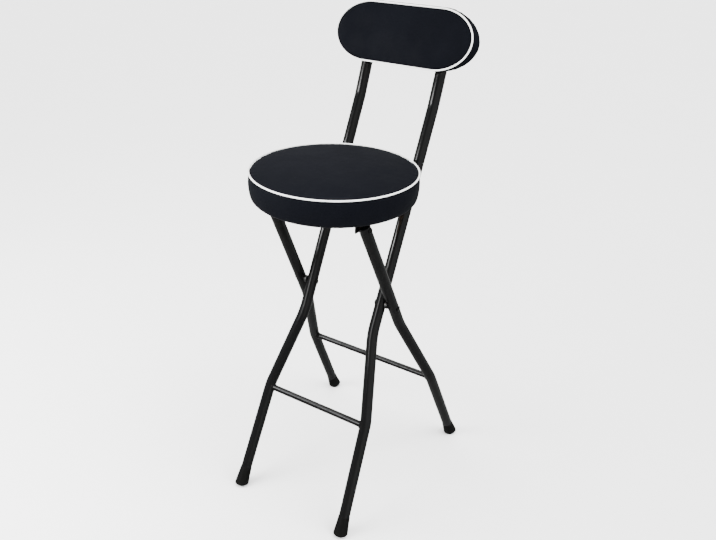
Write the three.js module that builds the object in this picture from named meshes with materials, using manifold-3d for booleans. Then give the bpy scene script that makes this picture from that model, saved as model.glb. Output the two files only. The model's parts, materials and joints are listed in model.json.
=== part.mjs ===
// Folding bar stool: a round padded seat on two crossed tube frames, with an oval padded back.
// Millimetres, +Z up. The stool faces -Y, so the sitter's left is +X, and the two sides mirror in X.

import * as THREE from 'three';
import { mergeVertices } from 'three/addons/utils/BufferGeometryUtils.js';
import Module from 'manifold-3d';

const wasm = await Module();
wasm.setup();

// Steel tubing of both frames
const tubeDiameter = 22.2;
const tubeWall = 1.5;
const rungDiameter = 12.5;
const catchBarDiameter = 13;
const barWall = 1.2;

// Gap that touching pieces keep, and how far a cutting tool runs past what it cuts
const gap = 0.3;
const overrun = 5;

// Side view of the crossed legs: the height of the pivot that joins them, as a share of the seat's
// height, and how far the feet stand from it to the front and to the rear
const pivotShare = 0.60914;
const frontStride = 203;
const rearStride = 216;

// Front frame, from the front feet up to the back posts: how far the posts stand inside the edge of
// the seat, outward splay of the knees and feet, heights and bends
const postInset = 71.8;
const frontKneeSplay = 36.5;
const frontFootSplay = 9;
const frontHipDrop = 58;
const frontHipBend = 180;
const frontKneeDrop = 156.6;
const frontKneeBend = 120;
const frontRungDrop = 5.8;
const postLeanRise = 82;
const postLeanBend = 150;
const postLean = THREE.MathUtils.degToRad(20);

// Rear frame, from the rear feet up to the seat hinge, outside the front frame
const pivotSpace = 6.7;
const rearTopLean = THREE.MathUtils.degToRad(2.46);
const rearTopOverrun = 9;
const rearKneeSplay = 40.1;
const rearFootSplay = 13;
const rearHipDrop = 47.3;
const rearHipBend = 120;
const rearKneeDrop = 162.1;
const rearKneeBend = 120;
const rearRungDrop = 3;

// Rubber feet: walls at the lip, the middle and the sole
const footHeight = 42;
const footLipWall = 0.8;
const footMidWall = 1.4;
const footSoleWall = 2.1;
const footSoleThickness = 9;

// Plastic plugs in the tops of the back posts
const postTopRise = 42;
const plugInsert = 14;
const plugHead = 3;

// Rivets and spacers where the frames cross
const pivotRivetRadius = 4;
const pivotHeadOverhang = 3;
const pivotHeadHeight = 1.2;
const spacerWall = 3.2;

// Seat pad: its radius and height are given at the piping line
const seatRadius = 155;
const seatHeight = 700;
const seatPostClearance = 9.4;
const seatDepth = 57;
const seatCrown = 7;
const seatShoulderInset = 7;
const seatShoulderRise = 1.6;
const seatSideFlare = 1;
const seatSideBulge = 2.6;
const seatRollWidth = 29.5;
const seatRollHeight = 16;
const seatWrapWidth = 14;
const seatBoardThickness = 10;
const seatCrownPower = 2.6;

// Back pad: straight edges between half-elliptical ends, its size given at the piping line. Towards
// its back the ends flare out.
const backHalfLength = 147.8;
const backHalfHeight = 56.9;
const backEndLength = 74;
const backEndFlare = 5;
const backRise = 121.3;
const backDepth = 22.6;
const backCrown = 6.5;
const backShoulderInset = 6;
const backShoulderRise = 1.4;
const backSideFlare = 0.8;
const backSideBulge = 1.2;
const backRollWidth = 6;
const backRollHeight = 7;
const backWrapWidth = 14;
const backBoardThickness = 8;
const backCrownPower = 2.4;

// Upholstery common to both pads
const coverThickness = 1.2;
const pipingRadius = 1.7;
const boardEdgeClearance = 1.5;

// Hinge that carries the front of the seat on the rear frame
const hingePinRadius = 3;
const hingeHeadOverhang = 2.5;
const hingeHeadHeight = 2;
const hingeTurnClearance = 0.78;
const bracketThickness = 1.8;
const bracketSideGap = 0.7;
const bracketEarFront = 12;
const bracketEarBack = 14;
const bracketEarDrop = 8;
const bracketFlange = 27;

// Hooks that rest the back of the seat on the catch bar
const hookPostSpace = 38.2;
const hookWidth = 22;
const hookThickness = 2;
const hookReachForward = 75;
const hookLipDrop = 12;
const hookBarClearance = 0.6;

// Screws into the seat board and the back board
const screwRadius = 2;
const screwHeadOverhang = 2;
const screwHeadHeight = 2.2;
const screwTipCover = 3.5;
const bracketScrewPitch = 12;
const hookScrewPitch = 20;
const screwEdgeMargin = 8;
const backScrewRadius = 2.5;
const backScrewHeadOverhang = 2.3;
const backScrewTipCover = 1;
const backScrewPitch = 44;

// Facet counts
const tubeSides = 14;
const boreSides = 10;
const barSides = 12;
const footSides = 18;
const pinSides = 10;
const screwSides = 8;
const bendSteps = 3;
const seatSides = 36;
const backSides = 36;
const rollSteps = 3;
const pipingSides = 6;

// Sizes worked out from the ones above
const pivotHeight = seatHeight * pivotShare;
const postHalf = seatRadius - postInset;
const hookHalfSpacing = postHalf - hookPostSpace;
const tubeRadius = tubeDiameter / 2;
const rungRadius = rungDiameter / 2;
const catchBarRadius = catchBarDiameter / 2;
const seatUnderside = seatHeight - seatDepth;
const fittingTop = seatUnderside - gap;
const hingeDrop = hingeTurnClearance + Math.hypot(tubeRadius, rearTopOverrun);
const hingeHeight = seatUnderside - hingeDrop;
const catchBarHeight = fittingTop - hookThickness - gap - catchBarRadius;
const postLeanHeight = seatHeight + postLeanRise;
const backStandoff = backDepth + gap + tubeRadius;
const rearPivotHalf = postHalf + tubeDiameter + pivotSpace;
const frontHipHeight = pivotHeight - frontHipDrop;
const frontKneeHeight = frontHipHeight - frontKneeDrop;
const rearHipHeight = pivotHeight - rearHipDrop;
const rearKneeHeight = rearHipHeight - rearKneeDrop;

// Materials, with the colour, roughness and metalness of each finish
const blackPaint = new THREE.MeshStandardMaterial({ color: 0x161616, roughness: 0.32, metalness: 0.2 });
const zincSteel = new THREE.MeshStandardMaterial({ color: 0xb4b6b8, roughness: 0.35, metalness: 0.9 });
const blackRubber = new THREE.MeshStandardMaterial({ color: 0x121212, roughness: 0.75, metalness: 0 });
const blackPlastic = new THREE.MeshStandardMaterial({ color: 0x1a1a1a, roughness: 0.5, metalness: 0 });
const blackVinyl = new THREE.MeshStandardMaterial({ color: 0x1b1d22, roughness: 0.48, metalness: 0 });
const whiteVinyl = new THREE.MeshStandardMaterial({ color: 0xf2f2f0, roughness: 0.4, metalness: 0 });
const greyFoam = new THREE.MeshStandardMaterial({ color: 0x8d8f92, roughness: 0.95, metalness: 0 });
const plywood = new THREE.MeshStandardMaterial({ color: 0xb48a5a, roughness: 0.75, metalness: 0 });
const blackPlywood = new THREE.MeshStandardMaterial({ color: 0x0e0e0e, roughness: 0.7, metalness: 0 });

// How far back the centre planes of the two frames lie from the pivot at a height
const frontLine = (height) => -frontStride * (1 - height / pivotHeight);
const rearLine = (height) => rearStride * (1 - height / pivotHeight);

// Half width of the rear frame's upper tube at a height
const rearTubeHalf = (height) => rearPivotHalf - Math.tan(rearTopLean) * (height - pivotHeight);

// How far forward of the pivot the middle of the seat lies, so that the pad clears the back posts
const seatSetback = seatForward();

function seatForward() {
  const fullHeight = seatUnderside + seatRollHeight;
  const fullRadius = seatRadius + seatSideFlare + seatSideBulge;
  const postFront = frontLine(fullHeight) - tubeRadius / Math.cos(Math.atan(frontStride / pivotHeight));
  return Math.sqrt(fullRadius ** 2 - postHalf ** 2) + seatPostClearance - postFront;
}

// A closed geometry as a solid for cutting and joining; shared corners are merged first.
function toSolid(geometry) {
  const bare = new THREE.BufferGeometry();
  bare.setAttribute('position', geometry.getAttribute('position').clone());
  if (geometry.index) {
    bare.setIndex(geometry.index.clone());
  }
  const merged = mergeVertices(bare);
  const corners = merged.index.array;
  const kept = [];
  for (let i = 0; i < corners.length; i += 3) {
    const [a, b, c] = [corners[i], corners[i + 1], corners[i + 2]];
    if (a !== b && b !== c && c !== a) {
      kept.push(a, b, c);
    }
  }
  const mesh = new wasm.Mesh({
    numProp: 3,
    vertProperties: Float32Array.from(merged.getAttribute('position').array),
    triVerts: Uint32Array.from(kept),
  });
  return new wasm.Manifold(mesh);
}

// The geometry of a solid.
function toGeometry(solid) {
  const mesh = solid.getMesh();
  const geometry = new THREE.BufferGeometry();
  geometry.setAttribute('position', new THREE.BufferAttribute(Float32Array.from(mesh.vertProperties), 3));
  geometry.setIndex(Array.from(mesh.triVerts));
  return geometry;
}

// A geometry with other closed geometries cut away from it.
function cut(geometry, ...tools) {
  let solid = toSolid(geometry);
  for (const tool of tools) {
    solid = solid.subtract(toSolid(tool));
  }
  return toGeometry(solid);
}

// The same geometry on the other side of the stool.
function mirrored(geometry) {
  const copy = geometry.clone();
  copy.scale(-1, 1, 1);
  const corners = copy.index.array;
  for (let i = 0; i < corners.length; i += 3) {
    [corners[i], corners[i + 1]] = [corners[i + 1], corners[i]];
  }
  return copy;
}

// A turned piece: profile points [radius, height] run round the section with the solid on their left.
function turned(profile, sides) {
  const points = profile.map(([radius, height]) => new THREE.Vector2(radius, height));
  const geometry = new THREE.LatheGeometry(points, sides);
  geometry.rotateX(Math.PI / 2);
  return geometry;
}

// A straight pipe along Z, centred on the origin.
function pipe(outer, inner, length, sides) {
  const half = length / 2;
  return turned([[inner, -half], [outer, -half], [outer, half], [inner, half], [inner, -half]], sides);
}

// A round rod along Z, centred on the origin.
function rod(radius, length, sides) {
  const half = length / 2;
  return turned([[0, -half], [radius, -half], [radius, half], [0, half]], sides);
}

// A path of straight runs joined by round bends. Its steps fall on the bends and on the run ends only.
class BentPath extends THREE.Curve {
  constructor(corners, bends) {
    super();
    this.stations = [];
    const runs = corners.slice(1).map((corner, i) => corner.clone().sub(corners[i]).normalize());
    this.addStation(corners[0], runs[0]);
    for (let i = 1; i < corners.length - 1; i += 1) {
      this.addBend(corners[i], runs[i - 1], runs[i], bends[i - 1]);
    }
    this.addStation(corners[corners.length - 1], runs[runs.length - 1]);
  }

  addStation(point, tangent) {
    this.stations.push({ point: point.clone(), tangent: tangent.clone() });
  }

  addBend(corner, before, after, radius) {
    const angle = before.angleTo(after);
    const axis = before.clone().cross(after).normalize();
    const start = corner.clone().addScaledVector(before, -radius * Math.tan(angle / 2));
    const centre = start.clone().addScaledVector(axis.clone().cross(before), radius);
    for (let step = 0; step <= bendSteps; step += 1) {
      const turn = (angle * step) / bendSteps;
      const arm = start.clone().sub(centre).applyAxisAngle(axis, turn);
      this.addStation(centre.clone().add(arm), before.clone().applyAxisAngle(axis, turn));
    }
  }

  getUtoTmapping(u) {
    return u;
  }

  blend(t, key, target) {
    const place = t * (this.stations.length - 1);
    const index = Math.min(Math.floor(place), this.stations.length - 2);
    return target.lerpVectors(this.stations[index][key], this.stations[index + 1][key], place - index);
  }

  getPoint(t, target = new THREE.Vector3()) {
    return this.blend(t, 'point', target);
  }

  getTangent(t, target = new THREE.Vector3()) {
    return this.blend(t, 'tangent', target).normalize();
  }
}

// The corners of a circle.
function circle(radius, sides) {
  const turns = Array.from({ length: sides }, (_, i) => (2 * Math.PI * i) / sides);
  return turns.map((turn) => new THREE.Vector2(radius * Math.cos(turn), radius * Math.sin(turn)));
}

// A round bar along a path, bored through where a bore radius is given.
function tubeAlong(path, radius, bore = 0) {
  const outline = new THREE.Shape(circle(radius, tubeSides));
  if (bore > 0) {
    outline.holes.push(new THREE.Path(circle(bore, boreSides)));
  }
  return new THREE.ExtrudeGeometry(outline, {
    steps: path.stations.length - 1,
    bevelEnabled: false,
    extrudePath: path,
  });
}

// Half width of a leg at a height, from its corners.
function halfAt(corners, height) {
  const above = corners.findIndex((corner) => corner.z > height);
  const [low, high] = [corners[above - 1], corners[above]];
  return THREE.MathUtils.mapLinear(height, low.z, high.z, low.x, high.x);
}

// A straight crossbar between a leg and its mirror image, with its ends shaped to the legs.
function crossbar(corners, y, z, radius, path) {
  const bar = pipe(radius, radius - barWall, 2 * halfAt(corners, z), barSides);
  bar.rotateY(Math.PI / 2);
  bar.translate(0, y, z);
  const leg = toGeometry(toSolid(tubeAlong(path, tubeRadius + gap)));
  return cut(bar, leg, mirrored(leg));
}

// A pin along X through a point, as a tool for cutting its hole.
function holeAlongX(radius, from, to, y, z) {
  const tool = rod(radius, to - from, pinSides);
  tool.rotateY(Math.PI / 2);
  tool.translate((from + to) / 2, y, z);
  return tool;
}

// A rivet along Z with a domed head at each end of its grip, which starts at the origin.
function rivet(radius, headRadius, headHeight, grip) {
  const shoulderShare = 0.72;
  const edgeShare = 0.35;
  return turned([
    [0, -headHeight],
    [headRadius * shoulderShare, -headHeight * (1 - edgeShare / 2)],
    [headRadius, -headHeight * edgeShare],
    [headRadius, 0],
    [radius, 0],
    [radius, grip],
    [headRadius, grip],
    [headRadius, grip + headHeight * edgeShare],
    [headRadius * shoulderShare, grip + headHeight * (1 - edgeShare / 2)],
    [0, grip + headHeight],
  ], pinSides);
}

// A pan-head screw along Z: its head hangs below the origin and its point is up in the board.
function screw(radius, headRadius, headHeight, length) {
  const shoulderShare = 0.7;
  const edgeShare = 0.4;
  return turned([
    [0, -headHeight],
    [headRadius * shoulderShare, -headHeight * (1 - edgeShare / 3)],
    [headRadius, -headHeight * edgeShare],
    [headRadius, 0],
    [radius, 0],
    [radius, length - 2 * radius],
    [0, length],
  ], screwSides);
}

// Corners of one ring of a padded form: two half ellipses with straight edges along X between them,
// drawn in by the inset. Below the seam their length grows by the end flare.
function ovalRing(pad, inset, height) {
  const depthShare = THREE.MathUtils.clamp(height / (pad.rollHeight - pad.depth), 0, 1);
  const endLength = pad.endLength + pad.endFlare * depthShare - inset;
  const straight = pad.halfLength - pad.endLength;
  const ring = [];
  for (let i = 0; i < pad.sides; i += 1) {
    const turn = (2 * Math.PI * (i + 0.5)) / pad.sides;
    const x = Math.sign(Math.cos(turn)) * straight + endLength * Math.cos(turn);
    ring.push([x, (pad.halfWidth - inset) * Math.sin(turn), height]);
  }
  return ring;
}

// A closed form from section points [inset, height]. An open section starts and ends at the middle of
// the pad, where the inset is the half width; a looped one closes on itself.
function padForm(pad, section, looped = false) {
  const positions = [];
  const rings = section.map(([inset, height], i) => {
    const start = positions.length / 3;
    const pole = !looped && (i === 0 || i === section.length - 1);
    const ring = pole ? [[0, 0, height]] : ovalRing(pad, inset, height);
    ring.forEach((corner) => positions.push(...corner));
    return { start, count: ring.length };
  });
  const corners = [];
  const last = looped ? rings.length : rings.length - 1;
  for (let i = 0; i < last; i += 1) {
    const near = rings[i];
    const far = rings[(i + 1) % rings.length];
    for (let j = 0; j < pad.sides; j += 1) {
      const k = (j + 1) % pad.sides;
      const [a, b] = near.count === 1 ? [near.start, near.start] : [near.start + j, near.start + k];
      const [c, d] = far.count === 1 ? [far.start, far.start] : [far.start + j, far.start + k];
      if (far.count > 1) {
        corners.push(a, c, d);
      }
      if (near.count > 1) {
        corners.push(a, d, b);
      }
    }
  }
  const geometry = new THREE.BufferGeometry();
  geometry.setAttribute('position', new THREE.Float32BufferAttribute(positions, 3));
  geometry.setIndex(corners);
  return geometry;
}

// Outer face of a pad's cover, from the middle of the crown out to the piping seam, down the side,
// round the rolled lower edge and in along the wrap. Heights are measured from the piping line.
function coverFace(pad) {
  const crownShares = [0, 0.5, 0.82, 1];
  const seamTurns = [195, 255];
  const sideShares = [0.3, 0.65];
  const face = crownShares.map((share) => [
    pad.halfWidth - (pad.halfWidth - pad.shoulderInset) * share,
    pad.shoulderRise + pad.crown * (1 - share ** pad.crownPower),
  ]);
  const halfStep = THREE.MathUtils.degToRad((seamTurns[1] - seamTurns[0]) / 2);
  const seamReach = (pipingRadius + gap) / Math.cos(halfStep);
  for (const degrees of seamTurns) {
    const turn = THREE.MathUtils.degToRad(degrees);
    face.push([-seamReach * Math.cos(turn), seamReach * Math.sin(turn)]);
  }
  const [sideInset, sideTop] = face[face.length - 1];
  const sideBottom = pad.rollHeight - pad.depth;
  for (const share of sideShares) {
    const bulge = pad.sideBulge * 4 * share * (1 - share);
    face.push([
      THREE.MathUtils.lerp(sideInset, -pad.sideFlare, share) - bulge,
      THREE.MathUtils.lerp(sideTop, sideBottom, share),
    ]);
  }
  const rollInset = pad.rollWidth - pad.sideFlare;
  for (let step = 0; step <= rollSteps; step += 1) {
    const turn = (step / rollSteps) * (Math.PI / 2);
    face.push([rollInset - pad.rollWidth * Math.cos(turn), sideBottom - pad.rollHeight * Math.sin(turn)]);
  }
  face.push([rollInset + pad.wrapWidth, -pad.depth]);
  return face;
}

// A cover's face moved a distance into the pad, square to itself.
function movedIn(face, distance) {
  const normals = face.slice(1).map(([inset, height], i) => {
    const run = new THREE.Vector2(face[i][0] - inset, height - face[i][1]).normalize();
    return new THREE.Vector2(run.y, -run.x);
  });
  return face.map(([inset, height], i) => {
    if (i === 0) {
      return [inset, height - distance];
    }
    const before = normals[i - 1];
    const after = normals[Math.min(i, normals.length - 1)];
    const mitre = before.clone().add(after).multiplyScalar(distance / (1 + before.dot(after)));
    return [inset - mitre.x, height + mitre.y];
  });
}

// Drills for a pad's screws, at places [x, y] from its middle. They stop just past the screws' points,
// which lie deeper than the board's upper face by the given cover.
function padDrills(pad, places, radius, tipCover) {
  const bottom = -pad.depth - overrun;
  const top = boardPlace(pad).high - tipCover + gap;
  return places.map(([x, y]) => {
    const drill = rod(radius + gap, top - bottom, screwSides);
    drill.translate(x, y, (top + bottom) / 2);
    return drill;
  });
}

// A pad's cover: a thin skin, open underneath inside its wrap.
function padCover(pad, drills) {
  const face = coverFace(pad);
  const lining = movedIn(face, coverThickness);
  return cut(padForm(pad, [...face, ...lining.reverse()]), ...drills);
}

// Where a pad's board lies: its inset from the piping line, and its lower and upper faces.
function boardPlace(pad) {
  const inset = pad.rollWidth - pad.sideFlare + boardEdgeClearance;
  const low = coverThickness + gap - pad.depth;
  return { inset, low, high: low + pad.boardThickness };
}

// A pad's foam, filling the cover and recessed for the board.
function padFoam(pad) {
  const board = boardPlace(pad);
  const skin = movedIn(coverFace(pad), coverThickness + gap).slice(0, -1);
  const edge = board.inset - gap;
  const lowest = skin[skin.length - 1];
  const ceiling = board.high + gap;
  skin[skin.length - 1] = [Math.min(lowest[0], edge - gap), lowest[1]];
  return padForm(pad, [...skin, [edge, lowest[1]], [edge, ceiling], [pad.halfWidth, ceiling]]);
}

// A pad's board, with pilot holes for its screws.
function padBoard(pad, drills) {
  const board = boardPlace(pad);
  const plate = padForm(pad, [
    [pad.halfWidth, board.high],
    [board.inset, board.high],
    [board.inset, board.low],
    [pad.halfWidth, board.low],
  ]);
  return cut(plate, ...drills);
}

// The piping cord in a pad's seam.
function padPiping(pad) {
  const section = [];
  for (let i = 0; i < pipingSides; i += 1) {
    const turn = (-2 * Math.PI * i) / pipingSides;
    section.push([-pipingRadius * Math.cos(turn), pipingRadius * Math.sin(turn)]);
  }
  return padForm(pad, section, true);
}

const seatPad = {
  halfLength: seatRadius,
  halfWidth: seatRadius,
  endLength: seatRadius,
  endFlare: 0,
  sides: seatSides,
  depth: seatDepth,
  crown: seatCrown,
  crownPower: seatCrownPower,
  shoulderInset: seatShoulderInset,
  shoulderRise: seatShoulderRise,
  sideFlare: seatSideFlare,
  sideBulge: seatSideBulge,
  rollWidth: seatRollWidth,
  rollHeight: seatRollHeight,
  wrapWidth: seatWrapWidth,
  boardThickness: seatBoardThickness,
};

const backPad = {
  halfLength: backHalfLength,
  halfWidth: backHalfHeight,
  endLength: backEndLength,
  endFlare: backEndFlare,
  sides: backSides,
  depth: backDepth,
  crown: backCrown,
  crownPower: backCrownPower,
  shoulderInset: backShoulderInset,
  shoulderRise: backShoulderRise,
  sideFlare: backSideFlare,
  sideBulge: backSideBulge,
  rollWidth: backRollWidth,
  rollHeight: backRollHeight,
  wrapWidth: backWrapWidth,
  boardThickness: backBoardThickness,
};

// Adds a named piece to a group.
function add(group, name, geometry, material) {
  const mesh = new THREE.Mesh(geometry, material);
  mesh.name = name;
  group.add(mesh);
  return mesh;
}

// Adds a piece made for the left side, and its mirror image on the right.
function addPair(group, name, geometry, material) {
  const left = toGeometry(toSolid(geometry));
  add(group, `${name}_left`, left, material);
  add(group, `${name}_right`, mirrored(left), material);
}

// Corners of the left front leg, from the floor up to the top of the back post.
function frontCorners() {
  const rise = new THREE.Vector3(0, Math.sin(postLean), Math.cos(postLean));
  const kneeHalf = postHalf + frontKneeSplay;
  const leanCorner = new THREE.Vector3(postHalf, frontLine(postLeanHeight), postLeanHeight);
  return [
    new THREE.Vector3(kneeHalf + frontFootSplay, frontLine(0), 0),
    new THREE.Vector3(kneeHalf, frontLine(frontKneeHeight), frontKneeHeight),
    new THREE.Vector3(postHalf, frontLine(frontHipHeight), frontHipHeight),
    leanCorner,
    leanCorner.clone().addScaledVector(rise, backRise + postTopRise),
  ];
}

// Corners of the left rear leg, from the floor up past the seat hinge.
function rearCorners() {
  const hip = new THREE.Vector3(rearTubeHalf(rearHipHeight), rearLine(rearHipHeight), rearHipHeight);
  const hinge = new THREE.Vector3(rearTubeHalf(hingeHeight), rearLine(hingeHeight), hingeHeight);
  const rise = hinge.clone().sub(hip).normalize();
  const kneeHalf = hip.x + rearKneeSplay;
  return [
    new THREE.Vector3(kneeHalf + rearFootSplay, rearLine(0), 0),
    new THREE.Vector3(kneeHalf, rearLine(rearKneeHeight), rearKneeHeight),
    hip,
    hinge.clone().addScaledVector(rise, rearTopOverrun),
  ];
}

// A leg's tube path, with its lower end raised above the sole of its foot.
function legPath(corners, bends) {
  const run = corners[1].clone().sub(corners[0]).normalize();
  const foot = corners[0].clone().addScaledVector(run, footSoleThickness);
  return new BentPath([foot, ...corners.slice(1)], bends);
}

// A rubber foot on the lower end of a leg, cut flat along the floor.
function rubberFoot(corners) {
  const run = corners[1].clone().sub(corners[0]).normalize();
  const bore = tubeRadius + gap;
  const boreFloor = footSoleThickness - gap;
  const soleRadius = bore + footSoleWall;
  const lipRadius = bore + footLipWall;
  const flareShare = 0.15;
  const waistShare = 0.55;
  const lipShare = 0.97;
  const cup = turned([
    [0, -soleRadius],
    [soleRadius, -soleRadius],
    [soleRadius, footHeight * flareShare],
    [bore + footMidWall, footHeight * waistShare],
    [lipRadius, footHeight * lipShare],
    [(lipRadius + bore) / 2, footHeight],
    [bore, footHeight],
    [bore, boreFloor],
    [0, boreFloor],
  ], footSides);
  const up = new THREE.Vector3(0, 0, 1);
  cup.applyQuaternion(new THREE.Quaternion().setFromUnitVectors(up, run));
  cup.translate(corners[0].x, corners[0].y, corners[0].z);
  const reach = 2 * footHeight;
  const ground = new THREE.BoxGeometry(reach, reach, reach);
  ground.translate(corners[0].x, corners[0].y, -reach / 2);
  return cut(cup, ground);
}

// A plug in the open top of a back post.
function postPlug(corners) {
  const insertRadius = (tubeRadius - tubeWall) * Math.cos(Math.PI / boreSides) - gap;
  const domeShare = 0.7;
  const edgeShare = 0.4;
  const plug = turned([
    [0, -plugInsert],
    [insertRadius, -plugInsert],
    [insertRadius, gap],
    [tubeRadius, gap],
    [tubeRadius, gap + plugHead * edgeShare],
    [tubeRadius * domeShare, plugHead],
    [0, plugHead + gap],
  ], tubeSides);
  const top = corners[corners.length - 1];
  plug.rotateX(-postLean);
  plug.translate(top.x, top.y, top.z);
  return plug;
}

// Places of the left post's screws, as [x, y] from the middle of the back pad.
const backScrewPlaces = [[postHalf, -backScrewPitch / 2], [postHalf, backScrewPitch / 2]];

// Where the back pad stands: its group is turned to lie along the leaning posts, in front of them.
function placeOnPosts(group, standoff) {
  const rise = new THREE.Vector3(0, Math.sin(postLean), Math.cos(postLean));
  const front = new THREE.Vector3(0, -Math.cos(postLean), Math.sin(postLean));
  group.position.set(0, frontLine(postLeanHeight), postLeanHeight);
  group.position.addScaledVector(rise, backRise);
  group.position.addScaledVector(front, standoff);
  group.rotation.x = Math.PI / 2 - postLean;
  group.updateMatrix();
}

// Drills through the left post for the back pad's screws.
function postDrills() {
  const frame = new THREE.Group();
  placeOnPosts(frame, 0);
  return backScrewPlaces.map(([x, y]) => {
    const drill = rod(backScrewRadius + gap, 2 * tubeDiameter, screwSides);
    drill.translate(x, y, 0);
    drill.applyMatrix4(frame.matrix);
    return drill;
  });
}

// The rivet and the spacer that join the two frames on the left.
function addPivots(group) {
  const slant = gap + Math.tan(rearTopLean) * (pivotRivetRadius + pivotHeadOverhang);
  const start = postHalf - tubeRadius - gap;
  const end = rearPivotHalf + tubeRadius + slant;
  const headRadius = pivotRivetRadius + pivotHeadOverhang;
  const pivotRivet = rivet(pivotRivetRadius, headRadius, pivotHeadHeight, end - start);
  pivotRivet.rotateY(Math.PI / 2);
  pivotRivet.translate(start, 0, pivotHeight);
  addPair(group, 'pivot_rivet', pivotRivet, blackPaint);
  const bore = pivotRivetRadius + gap;
  const spacer = pipe(bore + spacerWall, bore, pivotSpace - gap - slant, footSides);
  spacer.rotateY(Math.PI / 2);
  spacer.translate(postHalf + tubeRadius + gap + (pivotSpace - gap - slant) / 2, 0, pivotHeight);
  addPair(group, 'pivot_spacer', spacer, blackPlastic);
}

// Front frame: both long tubes with the back posts, the rung, the catch bar, feet, plugs and pivots.
function frontFrame() {
  const group = new THREE.Group();
  const corners = frontCorners();
  const path = legPath(corners, [frontKneeBend, frontHipBend, postLeanBend]);
  const pivotHole = holeAlongX(pivotRivetRadius + gap, 0, 2 * postHalf, 0, pivotHeight);
  const leg = cut(tubeAlong(path, tubeRadius, tubeRadius - tubeWall), pivotHole, ...postDrills());
  addPair(group, 'front_leg', leg, blackPaint);
  addPair(group, 'front_foot', rubberFoot(corners), blackRubber);
  addPair(group, 'post_plug', postPlug(corners), blackPlastic);
  const rungHeight = frontKneeHeight - frontRungDrop;
  const rung = crossbar(corners, frontLine(rungHeight), rungHeight, rungRadius, path);
  add(group, 'front_rung', rung, blackPaint);
  const bar = crossbar(corners, frontLine(catchBarHeight), catchBarHeight, catchBarRadius, path);
  add(group, 'catch_bar', bar, blackPaint);
  addPivots(group);
  return group;
}

// Rear frame: both rear legs, their rung and feet.
function rearFrame() {
  const group = new THREE.Group();
  const corners = rearCorners();
  const path = legPath(corners, [rearKneeBend, rearHipBend]);
  const reach = 2 * rearPivotHalf;
  const pivotHole = holeAlongX(pivotRivetRadius + gap, 0, reach, 0, pivotHeight);
  const hingeHole = holeAlongX(hingePinRadius + gap, 0, reach, rearLine(hingeHeight), hingeHeight);
  const leg = cut(tubeAlong(path, tubeRadius, tubeRadius - tubeWall), pivotHole, hingeHole);
  addPair(group, 'rear_leg', leg, blackPaint);
  addPair(group, 'rear_foot', rubberFoot(corners), blackRubber);
  const rungHeight = rearKneeHeight - rearRungDrop;
  const rung = crossbar(corners, rearLine(rungHeight), rungHeight, rungRadius, path);
  add(group, 'rear_rung', rung, blackPaint);
  return group;
}

// X place of the left hinge bracket's ear: its face that looks at the tube.
function earFace() {
  return rearTubeHalf(hingeHeight) - tubeRadius - bracketSideGap;
}

// Places of the left bracket's screws on the seat board, as [x, y] from the seat's middle.
function bracketScrewPlaces() {
  const near = earFace() - bracketThickness - screwEdgeMargin;
  const y = rearLine(hingeHeight) + seatSetback + (bracketEarBack - bracketEarFront) / 2;
  return [[near, y], [near - bracketScrewPitch, y]];
}

// Places of the left hook's screws on the seat board, as [x, y] from the seat's middle.
function hookScrewPlaces() {
  const y = seatSetback + frontLine(catchBarHeight) - hookReachForward + screwEdgeMargin;
  return [[hookHalfSpacing, y], [hookHalfSpacing, y + hookScrewPitch]];
}

// The bracket at the top of the left rear leg: a flange for the screws under the seat, towards the
// middle, and an ear down the tube's inner side.
function hingeBracket() {
  const face = earFace();
  const flangeFoot = fittingTop - bracketThickness;
  const foot = hingeHeight - bracketEarDrop;
  const flangeEnd = face - bracketFlange;
  const section = new THREE.Shape([
    new THREE.Vector2(flangeEnd, fittingTop),
    new THREE.Vector2(flangeEnd, flangeFoot),
    new THREE.Vector2(face - bracketThickness, flangeFoot),
    new THREE.Vector2(face - bracketThickness, foot),
    new THREE.Vector2(face, foot),
    new THREE.Vector2(face, fittingTop),
  ]);
  const depth = bracketEarFront + bracketEarBack;
  const bracket = new THREE.ExtrudeGeometry(section, { depth, bevelEnabled: false });
  bracket.rotateX(Math.PI / 2);
  bracket.translate(0, rearLine(hingeHeight) + bracketEarBack, 0);
  const reach = 2 * rearPivotHalf;
  const pinHole = holeAlongX(hingePinRadius + gap, 0, reach, rearLine(hingeHeight), hingeHeight);
  const screwHoles = bracketScrewPlaces().map(([x, y]) => {
    const hole = rod(screwRadius + gap, 2 * overrun, screwSides);
    hole.translate(x, y - seatSetback, flangeFoot);
    return hole;
  });
  return cut(bracket, pinHole, ...screwHoles);
}

// The pin that joins the left bracket and the top of the rear leg.
function hingePin() {
  const slant = gap + Math.tan(rearTopLean) * (hingePinRadius + hingeHeadOverhang);
  const start = earFace() - bracketThickness - gap;
  const end = rearTubeHalf(hingeHeight) + tubeRadius + slant;
  const pin = rivet(hingePinRadius, hingePinRadius + hingeHeadOverhang, hingeHeadHeight, end - start);
  pin.rotateY(Math.PI / 2);
  pin.translate(start, rearLine(hingeHeight), hingeHeight);
  return pin;
}

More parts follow.
